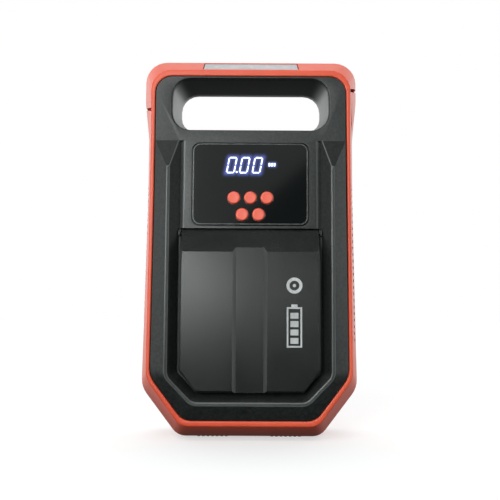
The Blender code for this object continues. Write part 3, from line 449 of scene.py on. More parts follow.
def frosted_lens():
    """Frosted lens of the work light, with a warm spot in front of each of five LEDs."""
    result, tree, shader = blank("frosted_lens")
    axes = object_axes(tree)
    grain = use(tree, "grain", Pitch=900.0)
    flow = use(tree, "flow", Scale=45.0)
    settled = use(tree, "dust", Patches=70.0)
    shade = mixed(tree, (0.34, 0.36, 0.39), (0.44, 0.46, 0.49), flow.outputs["Shade"])
    spots = None
    for index in range(-2, 3):
        spot = near(tree, axes["X"], index * LED_PITCH, 0.4, 3.0)
        spots = spot if spots is None else maths(tree, "MAXIMUM", spots, spot)
    depth = near(tree, axes["Y"], LED_Y, 0.6, 3.6)
    spots = maths(tree, "POWER", maths(tree, "MULTIPLY", spots, depth), 1.5)
    shade = mixed(tree, shade, (0.60, 0.52, 0.46), maths(tree, "MULTIPLY", spots, 0.7))
    shade = mixed(tree, shade, DUST_GREY, share(tree, settled, 0.12))
    gloss = spread(tree, grain.outputs["Speckle"], 0.0, 1.0, 0.34, 0.5)
    paint(tree, shader, shade, gloss)
    bumped(tree, grain.outputs["Height"], 0.02, shader, 0.5)
    return result


def green_board():
    """Solder mask over copper tracks, which show as paler lines, with tinned pads."""
    result, tree, shader = blank("green_board")
    place = add(tree, "TexCoord")
    tracks = add(tree, "TexBrick", offset=0.35, squash=0.6)
    tracks.inputs["Scale"].default_value = 260.0
    tracks.inputs["Mortar Size"].default_value = 0.05
    tracks.inputs["Color1"].default_value = (0.0, 0.0, 0.0, 1.0)
    tracks.inputs["Color2"].default_value = (0.25, 0.25, 0.25, 1.0)
    tracks.inputs["Mortar"].default_value = (1.0, 1.0, 1.0, 1.0)
    pads = add(tree, "TexVoronoi", values={"Scale": 190.0})
    aim = add(tree, "Mapping")
    aim.inputs["Rotation"].default_value = (math.radians(90.0), 0.0, 0.0)
    flow = use(tree, "flow", Scale=60.0)
    wire(
        tree,
        (place.outputs["Object"], aim.inputs["Vector"]),
        (aim.outputs["Vector"], tracks.inputs["Vector"]),
        (place.outputs["Object"], pads.inputs["Vector"]),
    )
    base = mixed(tree, (0.010, 0.075, 0.032), (0.018, 0.120, 0.050), flow.outputs["Shade"])
    base = mixed(tree, base, (0.045, 0.230, 0.090), tracks.outputs["Fac"])
    dots = spread(tree, pads.outputs["Distance"], 0.16, 0.12, 0.0, 1.0)
    base = mixed(tree, base, (0.58, 0.58, 0.55), dots)
    gloss = spread(tree, dots, 0.0, 1.0, 0.42, 0.3)
    paint(tree, shader, base, gloss)
    wire(tree, (dots, shader.inputs["Metallic"]))
    bumped(tree, tracks.outputs["Fac"], 0.03, shader, 0.5)
    return result


def crinkled_foil():
    """The aluminium laminate of a pouch cell, with shallow crinkles."""
    result, tree, shader = blank("crinkled_foil")
    place = add(tree, "TexCoord")
    folds = add(tree, "TexVoronoi", feature="DISTANCE_TO_EDGE", values={"Scale": 130.0})
    flow = use(tree, "flow", Scale=35.0)
    wire(tree, (place.outputs["Object"], folds.inputs["Vector"]))
    crease = spread(tree, folds.outputs["Distance"], 0.0, 0.25, 0.0, 1.0)
    shade = mixed(tree, (0.36, 0.39, 0.46), (0.50, 0.52, 0.57), flow.outputs["Shade"])
    gloss = spread(tree, crease, 0.0, 1.0, 0.45, 0.28)
    paint(tree, shader, shade, gloss)
    shader.inputs["Metallic"].default_value = 0.8
    bumped(tree, crease, 0.15, shader, 0.5)
    return result


def printed_ink():
    """White pad-printed ink, thin enough for the grain beneath to show."""
    result, tree, shader = blank("printed_ink")
    grain = use(tree, "grain", Pitch=1300.0)
    flow = use(tree, "flow", Scale=90.0)
    shade = mixed(tree, (0.42, 0.44, 0.44), PRINT_WHITE, flow.outputs["Shade"])
    shade = mixed(tree, shade, (0.25, 0.26, 0.26), maths(tree, "MULTIPLY", grain.outputs["Speckle"], 0.35))
    gloss = spread(tree, grain.outputs["Speckle"], 0.0, 1.0, 0.4, 0.55)
    paint(tree, shader, shade, gloss)
    bumped(tree, grain.outputs["Height"], 0.015, shader, 0.5)
    return result


FINISHES = {
    "orange_plastic": moulded(
        "orange_abs", ORANGE, ORANGE_DEEP, ORANGE_WORN,
        rough=0.42, grain_pitch=1500.0, grain_depth=0.008, wear=0.3, dust=0.05,
    ),
    "black_plastic": moulded(
        "black_cover", BLACK, BLACK_DEEP, BLACK_WORN,
        rough=0.42, grain_pitch=1000.0, grain_depth=0.030, wear=0.35, dust=0.05, speckle=0.16,
    ),
    "lid_plastic": moulded(
        "black_lid", LID_BLACK, LID_BLACK_DEEP, BLACK_WORN,
        rough=0.23, grain_pitch=1300.0, grain_depth=0.014, wear=0.4, dust=0.03, speckle=0.10,
    ),
    # A lighter grey that paints highlights along the cover's ridge lines and platform edges.
    "painted_edge_highlight": moulded(
        "painted_edge_highlight", (0.090, 0.098, 0.095), (0.050, 0.056, 0.054), BLACK_WORN,
        rough=0.34, grain_pitch=1500.0, grain_depth=0.004,
    ),
    # A darker matt black that paints shade onto the cover's inner flanks, facet tops and bottom slope.
    "matt_painted_shade_flank": moulded(
        "matt_painted_shade_flank", BLACK_DEEP, (0.0035, 0.0045, 0.0045), BLACK_WORN,
        rough=0.5, grain_pitch=1000.0, grain_depth=0.030, wear=0.2, dust=0.03, speckle=0.08, specular=0.26,
    ),
    "liner_plastic": moulded(
        "liner_black", BLACK, BLACK_DEEP, BLACK_WORN,
        rough=0.33, grain_pitch=1500.0, grain_depth=0.006, wear=0.25, dust=0.05,
    ),
    "dark_plastic": moulded(
        "inner_black", BLACK_DEEP, (0.004, 0.004, 0.004), BLACK_WORN,
        rough=0.5, grain_pitch=1300.0, grain_depth=0.012, wear=0.2, dust=0.06,
    ),
    "button_plastic": moulded(
        "orange_key", (0.88, 0.130, 0.074), (0.84, 0.115, 0.062), (1.0, 0.34, 0.24),
        rough=0.38, grain_pitch=1800.0, grain_depth=0.005, wear=0.4, dust=0.0,
    ),
    "gear_plastic": moulded(
        "white_acetal", (0.62, 0.61, 0.56), (0.54, 0.53, 0.47), (0.75, 0.75, 0.72),
        rough=0.4, grain_pitch=1500.0, grain_depth=0.006, wear=0.3, dust=0.06,
    ),
    "foot_rubber": moulded(
        "foot_rubber", (0.020, 0.020, 0.020), (0.012, 0.012, 0.012), (0.06, 0.06, 0.06),
        rough=0.72, grain_pitch=1000.0, grain_depth=0.03, wear=0.3, dust=0.1,
    ),
    # A lighter grey bead with paler edges: a painted highlight line with painted glints round the window.
    "window_highlight_bead": moulded(
        "window_highlight_bead", (0.050, 0.055, 0.055), (0.034, 0.038, 0.038), (0.35, 0.36, 0.36),
        rough=0.2, grain_pitch=1600.0, grain_depth=0.003, wear=0.5, dust=0.03,
    ),
    "label": moulded(
        "label_film", (0.30, 0.31, 0.31), (0.26, 0.27, 0.27), (0.45, 0.45, 0.45),
        rough=0.5, grain_pitch=1600.0, grain_depth=0.003, wear=0.4, dust=0.05,
    ),
    "steel": metal("zinc_steel", (0.56, 0.57, 0.59), (0.42, 0.42, 0.43), rough=0.33),
    "alloy": metal("cast_alloy", (0.60, 0.61, 0.62), (0.46, 0.46, 0.47), rough=0.42, lines=1200.0),
    "brass": metal("turned_brass", (0.70, 0.48, 0.17), (0.48, 0.31, 0.11), rough=0.28),
    "black_oxide": metal("black_oxide", (0.035, 0.036, 0.038), (0.020, 0.020, 0.022), rough=0.45),
    "window": smoked_window(),
    "lens": frosted_lens(),
    "circuit_board": green_board(),
    "cell_foil": crinkled_foil(),
    "print": printed_ink(),
    "figure": lit_figure(),
}


# ---------------------------------------------------------------- mesh helpers

def finish_piece(name, bm, finish, body, slot, *nodes):
    """Turns a bmesh in metres into a piece that rides a body and stands for CAD nodes."""
    mesh = bpy.data.meshes.new(name)
    bm.to_mesh(mesh)
    bm.free()
    if "custom_normal" in mesh.attributes:
        mesh.attributes.remove(mesh.attributes["custom_normal"])
    mesh.materials.append(FINISHES[finish])
    piece = bpy.data.objects.new(name, mesh)
    bpy.context.scene.collection.objects.link(piece)
    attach(piece, body)
    if nodes:
        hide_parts(*nodes)
    return piece


def round_edges(piece, width, angle=28.0, segments=3):
    """Rounds a piece's sharp edges and shades it smooth."""
    modifier = piece.modifiers.new("rounded_edges", "BEVEL")
    modifier.width = width * MM
    modifier.segments = segments
    modifier.limit_method = "ANGLE"
    modifier.angle_limit = math.radians(angle)
    modifier.harden_normals = True
    modifier.use_clamp_overlap = True
    piece.data.shade_smooth()
    return piece


def smooth_below(piece, angle):
    """Shades a piece smooth, except at edges sharper than an angle in degrees."""
    piece.data.shade_smooth()
    piece.data.set_sharp_from_angle(angle=math.radians(angle))


def box_of(node):
    """A CAD node's two corners in millimetres, and its middle seen from the front as (x, z)."""
    low, high = (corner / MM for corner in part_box(node))
    return low, high, ((low.x + high.x) / 2.0, (low.z + high.z) / 2.0)


def node_mesh(node):
    """A merged copy of a CAD node's mesh, with its flat faces made whole again."""
    bm = bmesh.new()
    bm.from_mesh(frame["nodes"][node].data)
    bmesh.ops.remove_doubles(bm, verts=bm.verts, dist=0.002 * MM)
    bmesh.ops.dissolve_limit(bm, angle_limit=math.radians(0.5), verts=bm.verts, edges=bm.edges)
    return bm


def bevelled(bm, chosen, width, segments, affect="EDGES", **limits):
    """Bevels edges or corners by so many millimetres. Returns the new faces."""
    rounded = bmesh.ops.bevel(
        bm, geom=chosen, offset=width * MM, offset_type="OFFSET", segments=segments, profile=0.5,
        affect=affect, material=-1, **limits,
    )
    return rounded["faces"]


def fillet_edges(bm, chosen, width, segments=4, wear_and_painted_highlight=False):
    """Rounds only the edges that chosen(start, end), given in millimetres, picks.

    Edges so marked take the cover's second finish, a lighter grey that paints a highlight along them.
    """
    edges = []
    for edge in bm.edges:
        start, end = (vert.co / MM for vert in edge.verts)
        if len(edge.link_faces) == 2 and edge.calc_face_angle() > math.radians(8.0) and chosen(start, end):
            edges.append(edge)
    faces = bevelled(bm, edges, width, segments, clamp_overlap=True)
    if wear_and_painted_highlight:
        for face in faces:
            face.material_index = PAINTED_HIGHLIGHT


def spun(profile, centre, axis="Y", steps=48):
    """Turns a profile of (place along the axis, radius) into a closed solid."""
    bm = bmesh.new()
    u, v = centre
    direction, middle, spot = {
        "X": ((1.0, 0.0, 0.0), (0.0, u, v), lambda w, r: (w, u, v + r)),
        "Y": ((0.0, 1.0, 0.0), (u, 0.0, v), lambda w, r: (u, w, v + r)),
    }[axis]
    verts = [bm.verts.new(Vector(spot(w, r)) * MM) for w, r in profile]
    edges = [bm.edges.new(pair) for pair in zip(verts, verts[1:])]
    bmesh.ops.spin(
        bm, geom=verts + edges, cent=Vector(middle) * MM, axis=direction, angle=math.tau, steps=steps,
        use_merge=True,
    )
    bmesh.ops.remove_doubles(bm, verts=bm.verts, dist=0.001 * MM)
    bmesh.ops.recalc_face_normals(bm, faces=bm.faces)
    return bm


def block(low, high, bevel=0.0):
    """A block between two corners, with rounded edges, as a bmesh in metres."""
    bm = bmesh.new()
    bmesh.ops.create_cube(bm, size=1.0)
    low, high = Vector(low) * MM, Vector(high) * MM
    bmesh.ops.scale(bm, vec=high - low, verts=bm.verts)
    bmesh.ops.translate(bm, vec=(high + low) / 2.0, verts=bm.verts)
    if bevel:
        bevelled(bm, bm.edges[:], bevel, 2)
    return bm


def joined(parts):
    """Puts several bmeshes into one."""
    result = bmesh.new()
    for part in parts:
        scratch = bpy.data.meshes.new("scratch")
        part.to_mesh(scratch)
        part.free()
        result.from_mesh(scratch)
        bpy.data.meshes.remove(scratch)
    return result


def place_of(bm, matrix):
    """Moves a bmesh and hands it back."""
    bmesh.ops.transform(bm, matrix=matrix, verts=bm.verts)
    return bm


# ---------------------------------------------------------------- housing mouldings

# The front cover: the slot's mouth, the platform, its corner facets and the raised ridge.
SLOT_MOUTH_HALF = 53.2
SLOT_MOUTH_LOW = 207.0
SLOT_MOUTH_HIGH = 243.5
PLATFORM_HALF = 44.8
PLATFORM_TOP = 200.3
FACET_INNER = 48.0
FACET_OUTER = 55.8
FACET_LOW = 176.0
FACET_HIGH = 200.4
RIDGE_CREST = RIM_FRONT - 5.0
RIDGE_SHOULDER = RIM_FRONT - 4.2
RIDGE_TOP = 199.0
RIDGE_BOTTOM = 45.0


def housing_mouldings():
    """The orange front rim and rear tub, and the lens of the work light."""
    orange = ("orange_plastic", HOUSING, "orange_plastic")
    rim = node_mesh("front_frame")
    fillet_edges(rim, lambda a, b: max(a.y, b.y) < RIM_FRONT + 0.2, width=1.2)
    round_edges(finish_piece("rim_moulding", rim, *orange, "front_frame"), 0.4)
    round_edges(finish_piece("rear_tub", node_mesh("rear_shell"), *orange, "rear_shell"), 0.6)
    lens = finish_piece("work_light_lens", node_mesh("light_lens"), "lens", HOUSING, "lens", "light_lens")
    round_edges(lens, 0.25)


def slot_edge(a, b):
    return all(
        abs(p.x) < SLOT_MOUTH_HALF and SLOT_MOUTH_LOW < p.z < SLOT_MOUTH_HIGH and p.y < RIM_FRONT + 0.2
        for p in (a, b)
    )


def ridge_edge(a, b):
    return max(a.y, b.y) < RIDGE_CREST


def ridge_line(a, b):
    """The two edges along the ridge's crest, and the long edges of the facets."""
    on_facet = all(
        FACET_INNER < abs(p.x) < FACET_OUTER and FACET_LOW < p.z < FACET_HIGH and p.y < RIM_FRONT + 0.1
        for p in (a, b)
    )
    return max(a.y, b.y) < RIDGE_SHOULDER or (on_facet and abs(a.z - b.z) > 8.0)


def platform_edge(a, b):
    on_side = all(abs(abs(p.x) - PLATFORM_HALF) < 0.1 and p.z < PLATFORM_TOP for p in (a, b))
    return on_side and max(a.y, b.y) < RIM_FRONT + 0.1 and abs(a.z - b.z) > 30.0


def cover_moulding():
    """The black front cover with painted highlights along its ridge lines, painted shade on its matt inner
    flanks, and the slot's lining.
    """
    bm = node_mesh("front_cover")
    fillet_edges(bm, slot_edge, width=1.1)
    fillet_edges(bm, ridge_edge, width=1.15, segments=1)
    # Inner flanks, facet tops and the upward bottom slope take a darker matt finish: painted shade.
    for face in bm.faces:
        centre = face.calc_center_median() / MM
        flank = -face.normal.x * math.copysign(1.0, centre.x) > 0.3
        facet = face.normal.z > 0.15 and centre.z > 180.0
        bottom_slope = face.normal.z > 0.3 and centre.z < RIDGE_BOTTOM
        on_ridge = centre.y < RIM_FRONT + 2.0 and centre.z < RIDGE_TOP
        if on_ridge and (flank or facet or bottom_slope):
            face.material_index = PAINTED_SHADE
    # The ridge lines and the platform's side edges take a lighter finish: a painted highlight.
    fillet_edges(bm, ridge_line, width=0.4, segments=2, wear_and_painted_highlight=True)
    fillet_edges(bm, platform_edge, width=0.5, segments=2, wear_and_painted_highlight=True)
    cover = finish_piece("front_cover_moulding", bm, "black_plastic", HOUSING, "black_plastic", "front_cover")
    cover.data.materials.append(FINISHES["painted_edge_highlight"])
    cover.data.materials.append(FINISHES["matt_painted_shade_flank"])
    round_edges(cover, 0.3)
    lining = node_mesh("handle_liner")
    liner = finish_piece("slot_lining", lining, "liner_plastic", HOUSING, "liner_plastic", "handle_liner")
    round_edges(liner, 0.4)


def lid_moulding():
    """The lid of the hose bay and the tray behind it."""
    panel = node_mesh("hose_bay_lid")
    lid = finish_piece("bay_lid_moulding", panel, "lid_plastic", LID, "black_plastic", "hose_bay_lid")
    round_edges(lid, 0.6, 20.0, 4)
    well = node_mesh("hose_bay_tray")
    tray = finish_piece("bay_tray_moulding", well, "dark_plastic", HOUSING, "dark_plastic", "hose_bay_tray")
    round_edges(tray, 0.4)


# The pictogram on the lid: a battery outline with level bars, and a ring above it.
INK_FRONT = -37.03
INK_BACK = -36.8
BATTERY_LEFT = 24.0
BATTERY_RIGHT = 34.0
BATTERY_LOW = 62.0
BATTERY_HIGH = 88.0
BATTERY_LINE = 1.1
TERMINAL_INSET = 3.0
TERMINAL_HIGH = 1.8
LEVEL_COUNT = 4
LEVEL_GAP = 2.4
LEVEL_PITCH = 5.4
LEVEL_HIGH = 3.8
RING_Z = 102.0
RING_INNER = 3.2
RING_OUTER = 5.2
RING_DOT = 1.1


def lid_print():
    """A plain pictogram on the lid's right panel: a battery with its level, and a tyre ring."""
    parts = []

    def strip(left, right, low, high):
        parts.append(block((left, INK_FRONT, low), (right, INK_BACK, high)))

    strip(BATTERY_LEFT, BATTERY_RIGHT, BATTERY_LOW, BATTERY_LOW + BATTERY_LINE)
    strip(BATTERY_LEFT, BATTERY_RIGHT, BATTERY_HIGH - BATTERY_LINE, BATTERY_HIGH)
    for left in (BATTERY_LEFT, BATTERY_RIGHT - BATTERY_LINE):
        strip(left, left + BATTERY_LINE, BATTERY_LOW + BATTERY_LINE, BATTERY_HIGH - BATTERY_LINE)
    terminal = (BATTERY_LEFT + TERMINAL_INSET, BATTERY_RIGHT - TERMINAL_INSET)
    strip(*terminal, BATTERY_HIGH, BATTERY_HIGH + TERMINAL_HIGH)
    for level in range(LEVEL_COUNT):
        low = BATTERY_LOW + LEVEL_GAP + level * LEVEL_PITCH
        strip(BATTERY_LEFT + LEVEL_GAP, BATTERY_RIGHT - LEVEL_GAP, low, low + LEVEL_HIGH)
    centre = ((BATTERY_LEFT + BATTERY_RIGHT) / 2.0, RING_Z)
    ring = [(INK_FRONT, RING_INNER), (INK_FRONT, RING_OUTER), (INK_BACK, RING_OUTER), (INK_BACK, RING_INNER)]
    ring.append(ring[0])
    dot = [(INK_FRONT, 0.0), (INK_FRONT, RING_DOT), (INK_BACK, RING_DOT), (INK_BACK, 0.0)]
    parts.append(spun(ring, centre, "Y", 40))
    parts.append(spun(dot, centre, "Y", 24))
    finish_piece("lid_pictogram", joined(parts), "print", LID, "black_plastic")


# ---------------------------------------------------------------- display and keys

def stroke(length, upright):
    """One stroke of a numeral: a thin bar with pointed ends, centred at the origin."""
    half = Vector((length / 2.0, FIGURE_THICK, STROKE / 2.0))
    bm = block(-half, half)
    ends = []
    for edge in bm.edges:
        run = edge.verts[0].co - edge.verts[1].co
        if abs(run.x) < 1e-7 and abs(run.z) < 1e-7:
            ends.append(edge)
    bevelled(bm, ends, STROKE * 0.42, 1)
    if upright:
        place_of(bm, Matrix.Rotation(math.radians(90.0), 4, "Y"))
    return bm


def lit_figures():
    """The lit strokes, point and dashes in the window, as one piece."""
    front = WINDOW_FRONT - 0.02
    lean = Matrix.Identity(4)
    lean[0][2] = SLANT
    side = NUMERAL_WIDE / 2.0
    reach = NUMERAL_HIGH / 2.0
    lying = NUMERAL_WIDE - 0.5
    standing = reach - 0.6
    strokes = [
        (0.0, reach, lying, False),
        (0.0, -reach, lying, False),
        (-side, reach / 2.0, standing, True),
        (side, reach / 2.0, standing, True),
        (-side, -reach / 2.0, standing, True),
        (side, -reach / 2.0, standing, True),
    ]
    parts = []
    for centre in NUMERALS:
        for x, z, length, upright in strokes:
            bar = place_of(stroke(length, upright), Matrix.Translation(Vector((x, 0.0, z)) * MM))
            place_of(bar, lean)
            parts.append(place_of(bar, Matrix.Translation(Vector((centre, front, NUMERAL_Z)) * MM)))
    near_face, far_face = front - FIGURE_THICK, front + FIGURE_THICK
    point = [(near_face, 0.0), (near_face, POINT_RADIUS), (far_face, POINT_RADIUS), (far_face, 0.0)]
    parts.append(spun(point, POINT_PLACE, "Y", 16))
    for x in DASHES:
        low = (x - DASH_HALF, near_face, DASH_Z - DASH_HIGH / 2.0)
        high = (x + DASH_HALF, far_face, DASH_Z + DASH_HIGH / 2.0)
        parts.append(block(low, high))
    finish_piece("lit_figures", joined(parts), "figure", HOUSING, "window")


def ring_plate(half, low, high, radius, width, front, back):
    """A thin rounded rectangular ring, centred on X, from front to back along Y."""
    bm = bmesh.new()
    upright = Matrix.Rotation(math.radians(90.0), 3, "X")
    bmesh.ops.create_grid(bm, x_segments=1, y_segments=1, size=0.5)
    bmesh.ops.rotate(bm, cent=(0.0, 0.0, 0.0), matrix=upright, verts=bm.verts)
    bmesh.ops.scale(bm, vec=Vector((half * 2.0, 1.0, high - low)) * MM, verts=bm.verts)
    bmesh.ops.translate(bm, vec=Vector((0.0, front, (low + high) / 2.0)) * MM, verts=bm.verts)
    bevelled(bm, bm.verts[:], radius, 10, affect="VERTICES")
    bmesh.ops.inset_region(
        bm, faces=bm.faces[:], thickness=width * MM, use_even_offset=True, use_boundary=True,
    )
    inner = max(bm.faces, key=lambda face: len(face.verts))
    bmesh.ops.delete(bm, geom=[inner], context="FACES_ONLY")
    lifted = bmesh.ops.extrude_face_region(bm, geom=bm.faces[:], use_keep_orig=True)
    moved = [item for item in lifted["geom"] if isinstance(item, bmesh.types.BMVert)]
    bmesh.ops.translate(bm, vec=Vector((0.0, (back - front) * MM, 0.0)), verts=moved)
    bmesh.ops.recalc_face_normals(bm, faces=bm.faces)
    return bm


# The bead round the window, painted a lighter grey as a highlight line, with paler edges as painted glints.
BEAD_HALF = 38.7
BEAD_LOW = 142.9
BEAD_HIGH = 197.9
BEAD_RADIUS = 5.2
BEAD_WIDE = 0.8

# Section of a key: depth behind its crown, and radius.
KEY_RADIUS = 4.15
KEY_FLANGE = KEY_RADIUS + 0.8
KEY_STEM = 1.5
KEY_SECTION = [
    (0.12, 0.0), (0.10, 1.4), (0.06, 2.5), (0.0, 3.2), (0.06, 3.65), (0.25, 3.98), (0.55, KEY_RADIUS),
    (2.8, KEY_RADIUS), (2.8, KEY_FLANGE), (3.5, KEY_FLANGE), (3.5, KEY_STEM),
]


def window_and_keys():
    """The smoked window with the bead round it, and the five keys."""
    # The bead's lighter grey is a painted highlight line round the window.
    bead = ring_plate(
        BEAD_HALF, BEAD_LOW, BEAD_HIGH, BEAD_RADIUS, BEAD_WIDE, WINDOW_FRONT - 0.3, WINDOW_FRONT + 0.1,
    )
    round_edges(finish_piece("window_highlight_bead", bead, "window_highlight_bead", HOUSING, "window"), 0.18, segments=2)
    sheet = node_mesh("display_window")
    round_edges(finish_piece("smoked_window", sheet, "window", HOUSING, "window", "display_window"), 0.35)
    for name in ("minus", "light", "plus", "unit", "power"):
        node = "button_" + name
        low, high, centre = box_of(node)
        section = [(low.y + depth, radius) for depth, radius in KEY_SECTION]
        section += [(high.y, KEY_STEM), (high.y, 0.0)]
        body = "key_" + name
        cap = spun(section, centre)
        key = finish_piece(body + "_cap", cap, "button_plastic", body, "button_plastic", node)
        smooth_below(key, 50.0)


# ---------------------------------------------------------------- side covers and sockets

# Charging sockets: half width and thickness of each tongue, and its contacts.
TONGUES = (("usb_socket_upper", 5.6, 1.1), ("usb_socket_lower", 5.6, 1.1), ("usb_c_socket", 3.2, 0.9))
CONTACT_PITCH = 2.1
CONTACT_HALF = 0.5

# Jump lead socket: section of a sleeve as depth behind the mouth and radius, and the sleeves' places.
SLEEVE_SECTION = [(10.5, 1.7), (0.8, 1.7), (0.5, 2.0), (0.5, 2.7), (10.5, 2.7), (10.5, 1.7)]
SLEEVE_Y = (-1.0, 9.0)
SLEEVE_Z = 187.0

# Grip ribs on the side covers.
GRIP_RIBS = 6
GRIP_START = -1.0
GRIP_PITCH = 2.4
GRIP_WIDE = 1.1
GRIP_REACH = (71.3, 72.1)
GRIP_LOW = 177.0
GRIP_HIGH = 197.0


def side_covers():
    """The flap on each side, and the bezel behind it."""
    for node, name, body in (
        ("port_cover", "port_cover_moulding", "left_flap"),
        ("jump_socket_cover", "jump_cover_moulding", "right_flap"),
    ):
        flap = finish_piece(name, node_mesh(node), "orange_plastic", body, "orange_plastic", node)
        round_edges(flap, 0.4)
    for node in ("port_bezel", "jump_bezel"):
        name = node + "_moulding"
        bezel = finish_piece(name, node_mesh(node), "dark_plastic", HOUSING, "dark_plastic", node)
        round_edges(bezel, 0.3)


def socket_details():
    """Tongues and contacts in the charging sockets, and sleeves in the jump lead socket."""
    for node, half, thick in TONGUES:
        low, high, (_, z) = box_of(node)
        y = (low.y + high.y) / 2.0
        tongue = block((low.x + 1.2, y - half, z - 0.2), (low.x + 10.0, y + half, z - 0.2 + thick), 0.15)
        finish_piece(node + "_tongue", tongue, "dark_plastic", HOUSING, "dark_plastic")
        if node == "usb_c_socket":
            continue
        pins = []
        for step in (-1.5, -0.5, 0.5, 1.5):
            across = y + step * CONTACT_PITCH
            start = (low.x + 1.6, across - CONTACT_HALF, z - 0.32)
            end = (low.x + 7.5, across + CONTACT_HALF, z - 0.16)
            pins.append(block(start, end, 0.04))
        finish_piece(node + "_contacts", joined(pins), "brass", HOUSING, "brass")
    mouth = box_of("jump_socket")[1].x
    section = [(mouth - depth, radius) for depth, radius in SLEEVE_SECTION]
    for number, y in enumerate(SLEEVE_Y, start=1):
        sleeve = spun(section, (y, SLEEVE_Z), "X", 32)
        finish_piece(f"jump_sleeve_{number}", sleeve, "brass", HOUSING, "brass")


def flap_grips():
    """Grip ribs on each side cover, where a thumb pulls it open."""
    for name, side, body in (("port_cover_grip", -1.0, "left_flap"), ("jump_cover_grip", 1.0, "right_flap")):
        x0, x1 = sorted(side * reach for reach in GRIP_REACH)
        ribs = []
        for index in range(GRIP_RIBS):
            y = GRIP_START + index * GRIP_PITCH
            ribs.append(block((x0, y, GRIP_LOW), (x1, y + GRIP_WIDE, GRIP_HIGH), 0.28))
        smooth_below(finish_piece(name, joined(ribs), "orange_plastic", body, "orange_plastic"), 40.0)


# ---------------------------------------------------------------- fittings, screws and feet

# Air outlet: its body behind the thread, and the thread itself.
OUTLET_BODY = [(2.6, -7.3), (5.1, -7.3), (5.4, -7.6), (5.4, -10.0), (5.1, -10.3)]
THREAD_START = -10.6
THREAD_PITCH = 0.9
THREAD_ROOT = 3.45
THREAD_CREST = 3.9
OUTLET_BORE = 1.7

# Tray of the hose bay: floor, ribs, and hose saddles as height above the floor and radius.
TRAY_FLOOR = -5.2
UPRIGHT_RIBS = (-30.0, -15.0, 0.0, 15.0)
LEVEL_RIBS = (60.0, 84.0, 108.0)
SADDLE_PLACES = ((-22.0, 96.0), (22.0, 96.0), (-22.0, 60.0), (22.0, 60.0))
SADDLE_SECTION = [
    (9.4, 0.0), (9.4, 1.6), (9.0, 2.2), (8.2, 3.4), (7.0, 3.4), (6.2, 2.4), (-0.1, 2.8), (-0.1, 0.0),
]

# Pan head screws: depth below the top of the head, and radius.
SCREW_COUNT = 6
SHANK_RADIUS = 1.5
PAN_SECTION = [
    (0.7, SHANK_RADIUS), (0.7, 3.0), (0.35, 2.95), (0.08, 2.6), (0.0, 2.0), (0.0, 1.45),
    (1.5, 1.3), (1.5, 0.0),
]
SOCKET_SECTION = [(0.02, 1.44), (0.02, 1.1), (1.3, 1.1), (1.3, 1.44), (0.02, 1.44)]

# Base feet, and the blank rating label.
FOOT_RIBS = 7
FOOT_PAD_LOW = 0.45
LABEL_HALF = 31.0
LABEL_LOW = 92.0
LABEL_HIGH = 124.0
LABEL_CORNER = 2.5


def air_outlet():
    """The brass outlet with its thread."""
    low, high, centre = box_of("air_outlet")
    front = low.y
    section = [(high.y, 0.0), (high.y, OUTLET_BODY[0][0])]
    section += [(y, radius) for radius, y in OUTLET_BODY]
    crest = THREAD_START
    while crest > front + 1.4:
        section += [(crest, THREAD_ROOT), (crest - 0.4, THREAD_CREST), (crest - 0.8, THREAD_ROOT)]
        crest -= THREAD_PITCH
    section += [(front + 0.4, 3.4), (front, 3.1), (front, 1.9), (front + 0.3, OUTLET_BORE)]
    section += [(front + 6.0, OUTLET_BORE), (front + 6.0, 0.0)]
    turned = spun(section, centre, "Y", 40)
    outlet = finish_piece("threaded_outlet", turned, "brass", HOUSING, "brass", "air_outlet")
    smooth_below(outlet, 40.0)


def tray_ribs():
    """Ribs and hose saddles in the tray, as one piece."""
    root = TRAY_FLOOR + 0.1
    parts = []
    for x in UPRIGHT_RIBS:
        parts.append(block((x - 0.7, TRAY_FLOOR - 2.2, 42.0), (x + 0.7, root, 128.0), 0.3))
    for z in LEVEL_RIBS:
        parts.append(block((-44.0, TRAY_FLOOR - 1.6, z - 0.6), (30.0, root, z + 0.6), 0.3))
    section = [(TRAY_FLOOR - height, radius) for height, radius in SADDLE_SECTION]
    for place in SADDLE_PLACES:
        parts.append(spun(section, place, "Y", 28))
    smooth_below(finish_piece("tray_ribs", joined(parts), "dark_plastic", HOUSING, "dark_plastic"), 40.0)


def housing_screws():
    """Six pan head screws at the back, each with a six-sided socket."""
    for number in range(1, SCREW_COUNT + 1):
        node = f"screw_{number}"
        low, high, centre = box_of(node)
        top = high.y
        section = [(low.y, 0.0), (low.y, SHANK_RADIUS)]
        section += [(top - depth, radius) for depth, radius in PAN_SECTION]
        screw = finish_piece(node + "_pan", spun(section, centre, "Y", 36), "steel", HOUSING, "steel", node)
        smooth_below(screw, 35.0)
        hollow = [(top - depth, radius) for depth, radius in SOCKET_SECTION]
        finish_piece(node + "_socket", spun(hollow, centre, "Y", 6), "black_oxide", HOUSING, "steel")


def base_feet():
    """Ribbed rubber pads under the housing."""
    for place in ("front_left", "front_right", "rear_left", "rear_right"):
        node = "base_foot_" + place
        low, high, _ = box_of(node)
        parts = [block((low.x, low.y, FOOT_PAD_LOW), high, 0.15)]
        pitch = (high.x - low.x) / FOOT_RIBS
        for index in range(FOOT_RIBS):
            x = low.x + (index + 0.5) * pitch
            parts.append(block((x - 0.9, low.y + 0.3, 0.0), (x + 0.9, high.y - 0.3, 0.6), 0.2))
        finish_piece(node + "_pad", joined(parts), "foot_rubber", HOUSING, "foot_rubber", node)


def label():
    """A blank rating label on the back."""
    plate = block((-LABEL_HALF, BACK_FACE - 0.05, LABEL_LOW), (LABEL_HALF, BACK_FACE + 0.1, LABEL_HIGH))
    corners = [edge for edge in plate.edges if abs(edge.verts[0].co.y - edge.verts[1].co.y) > 1e-5]
    bevelled(plate, corners, LABEL_CORNER, 6)
    finish_piece("blank_label", plate, "label", HOUSING, "orange_plastic")


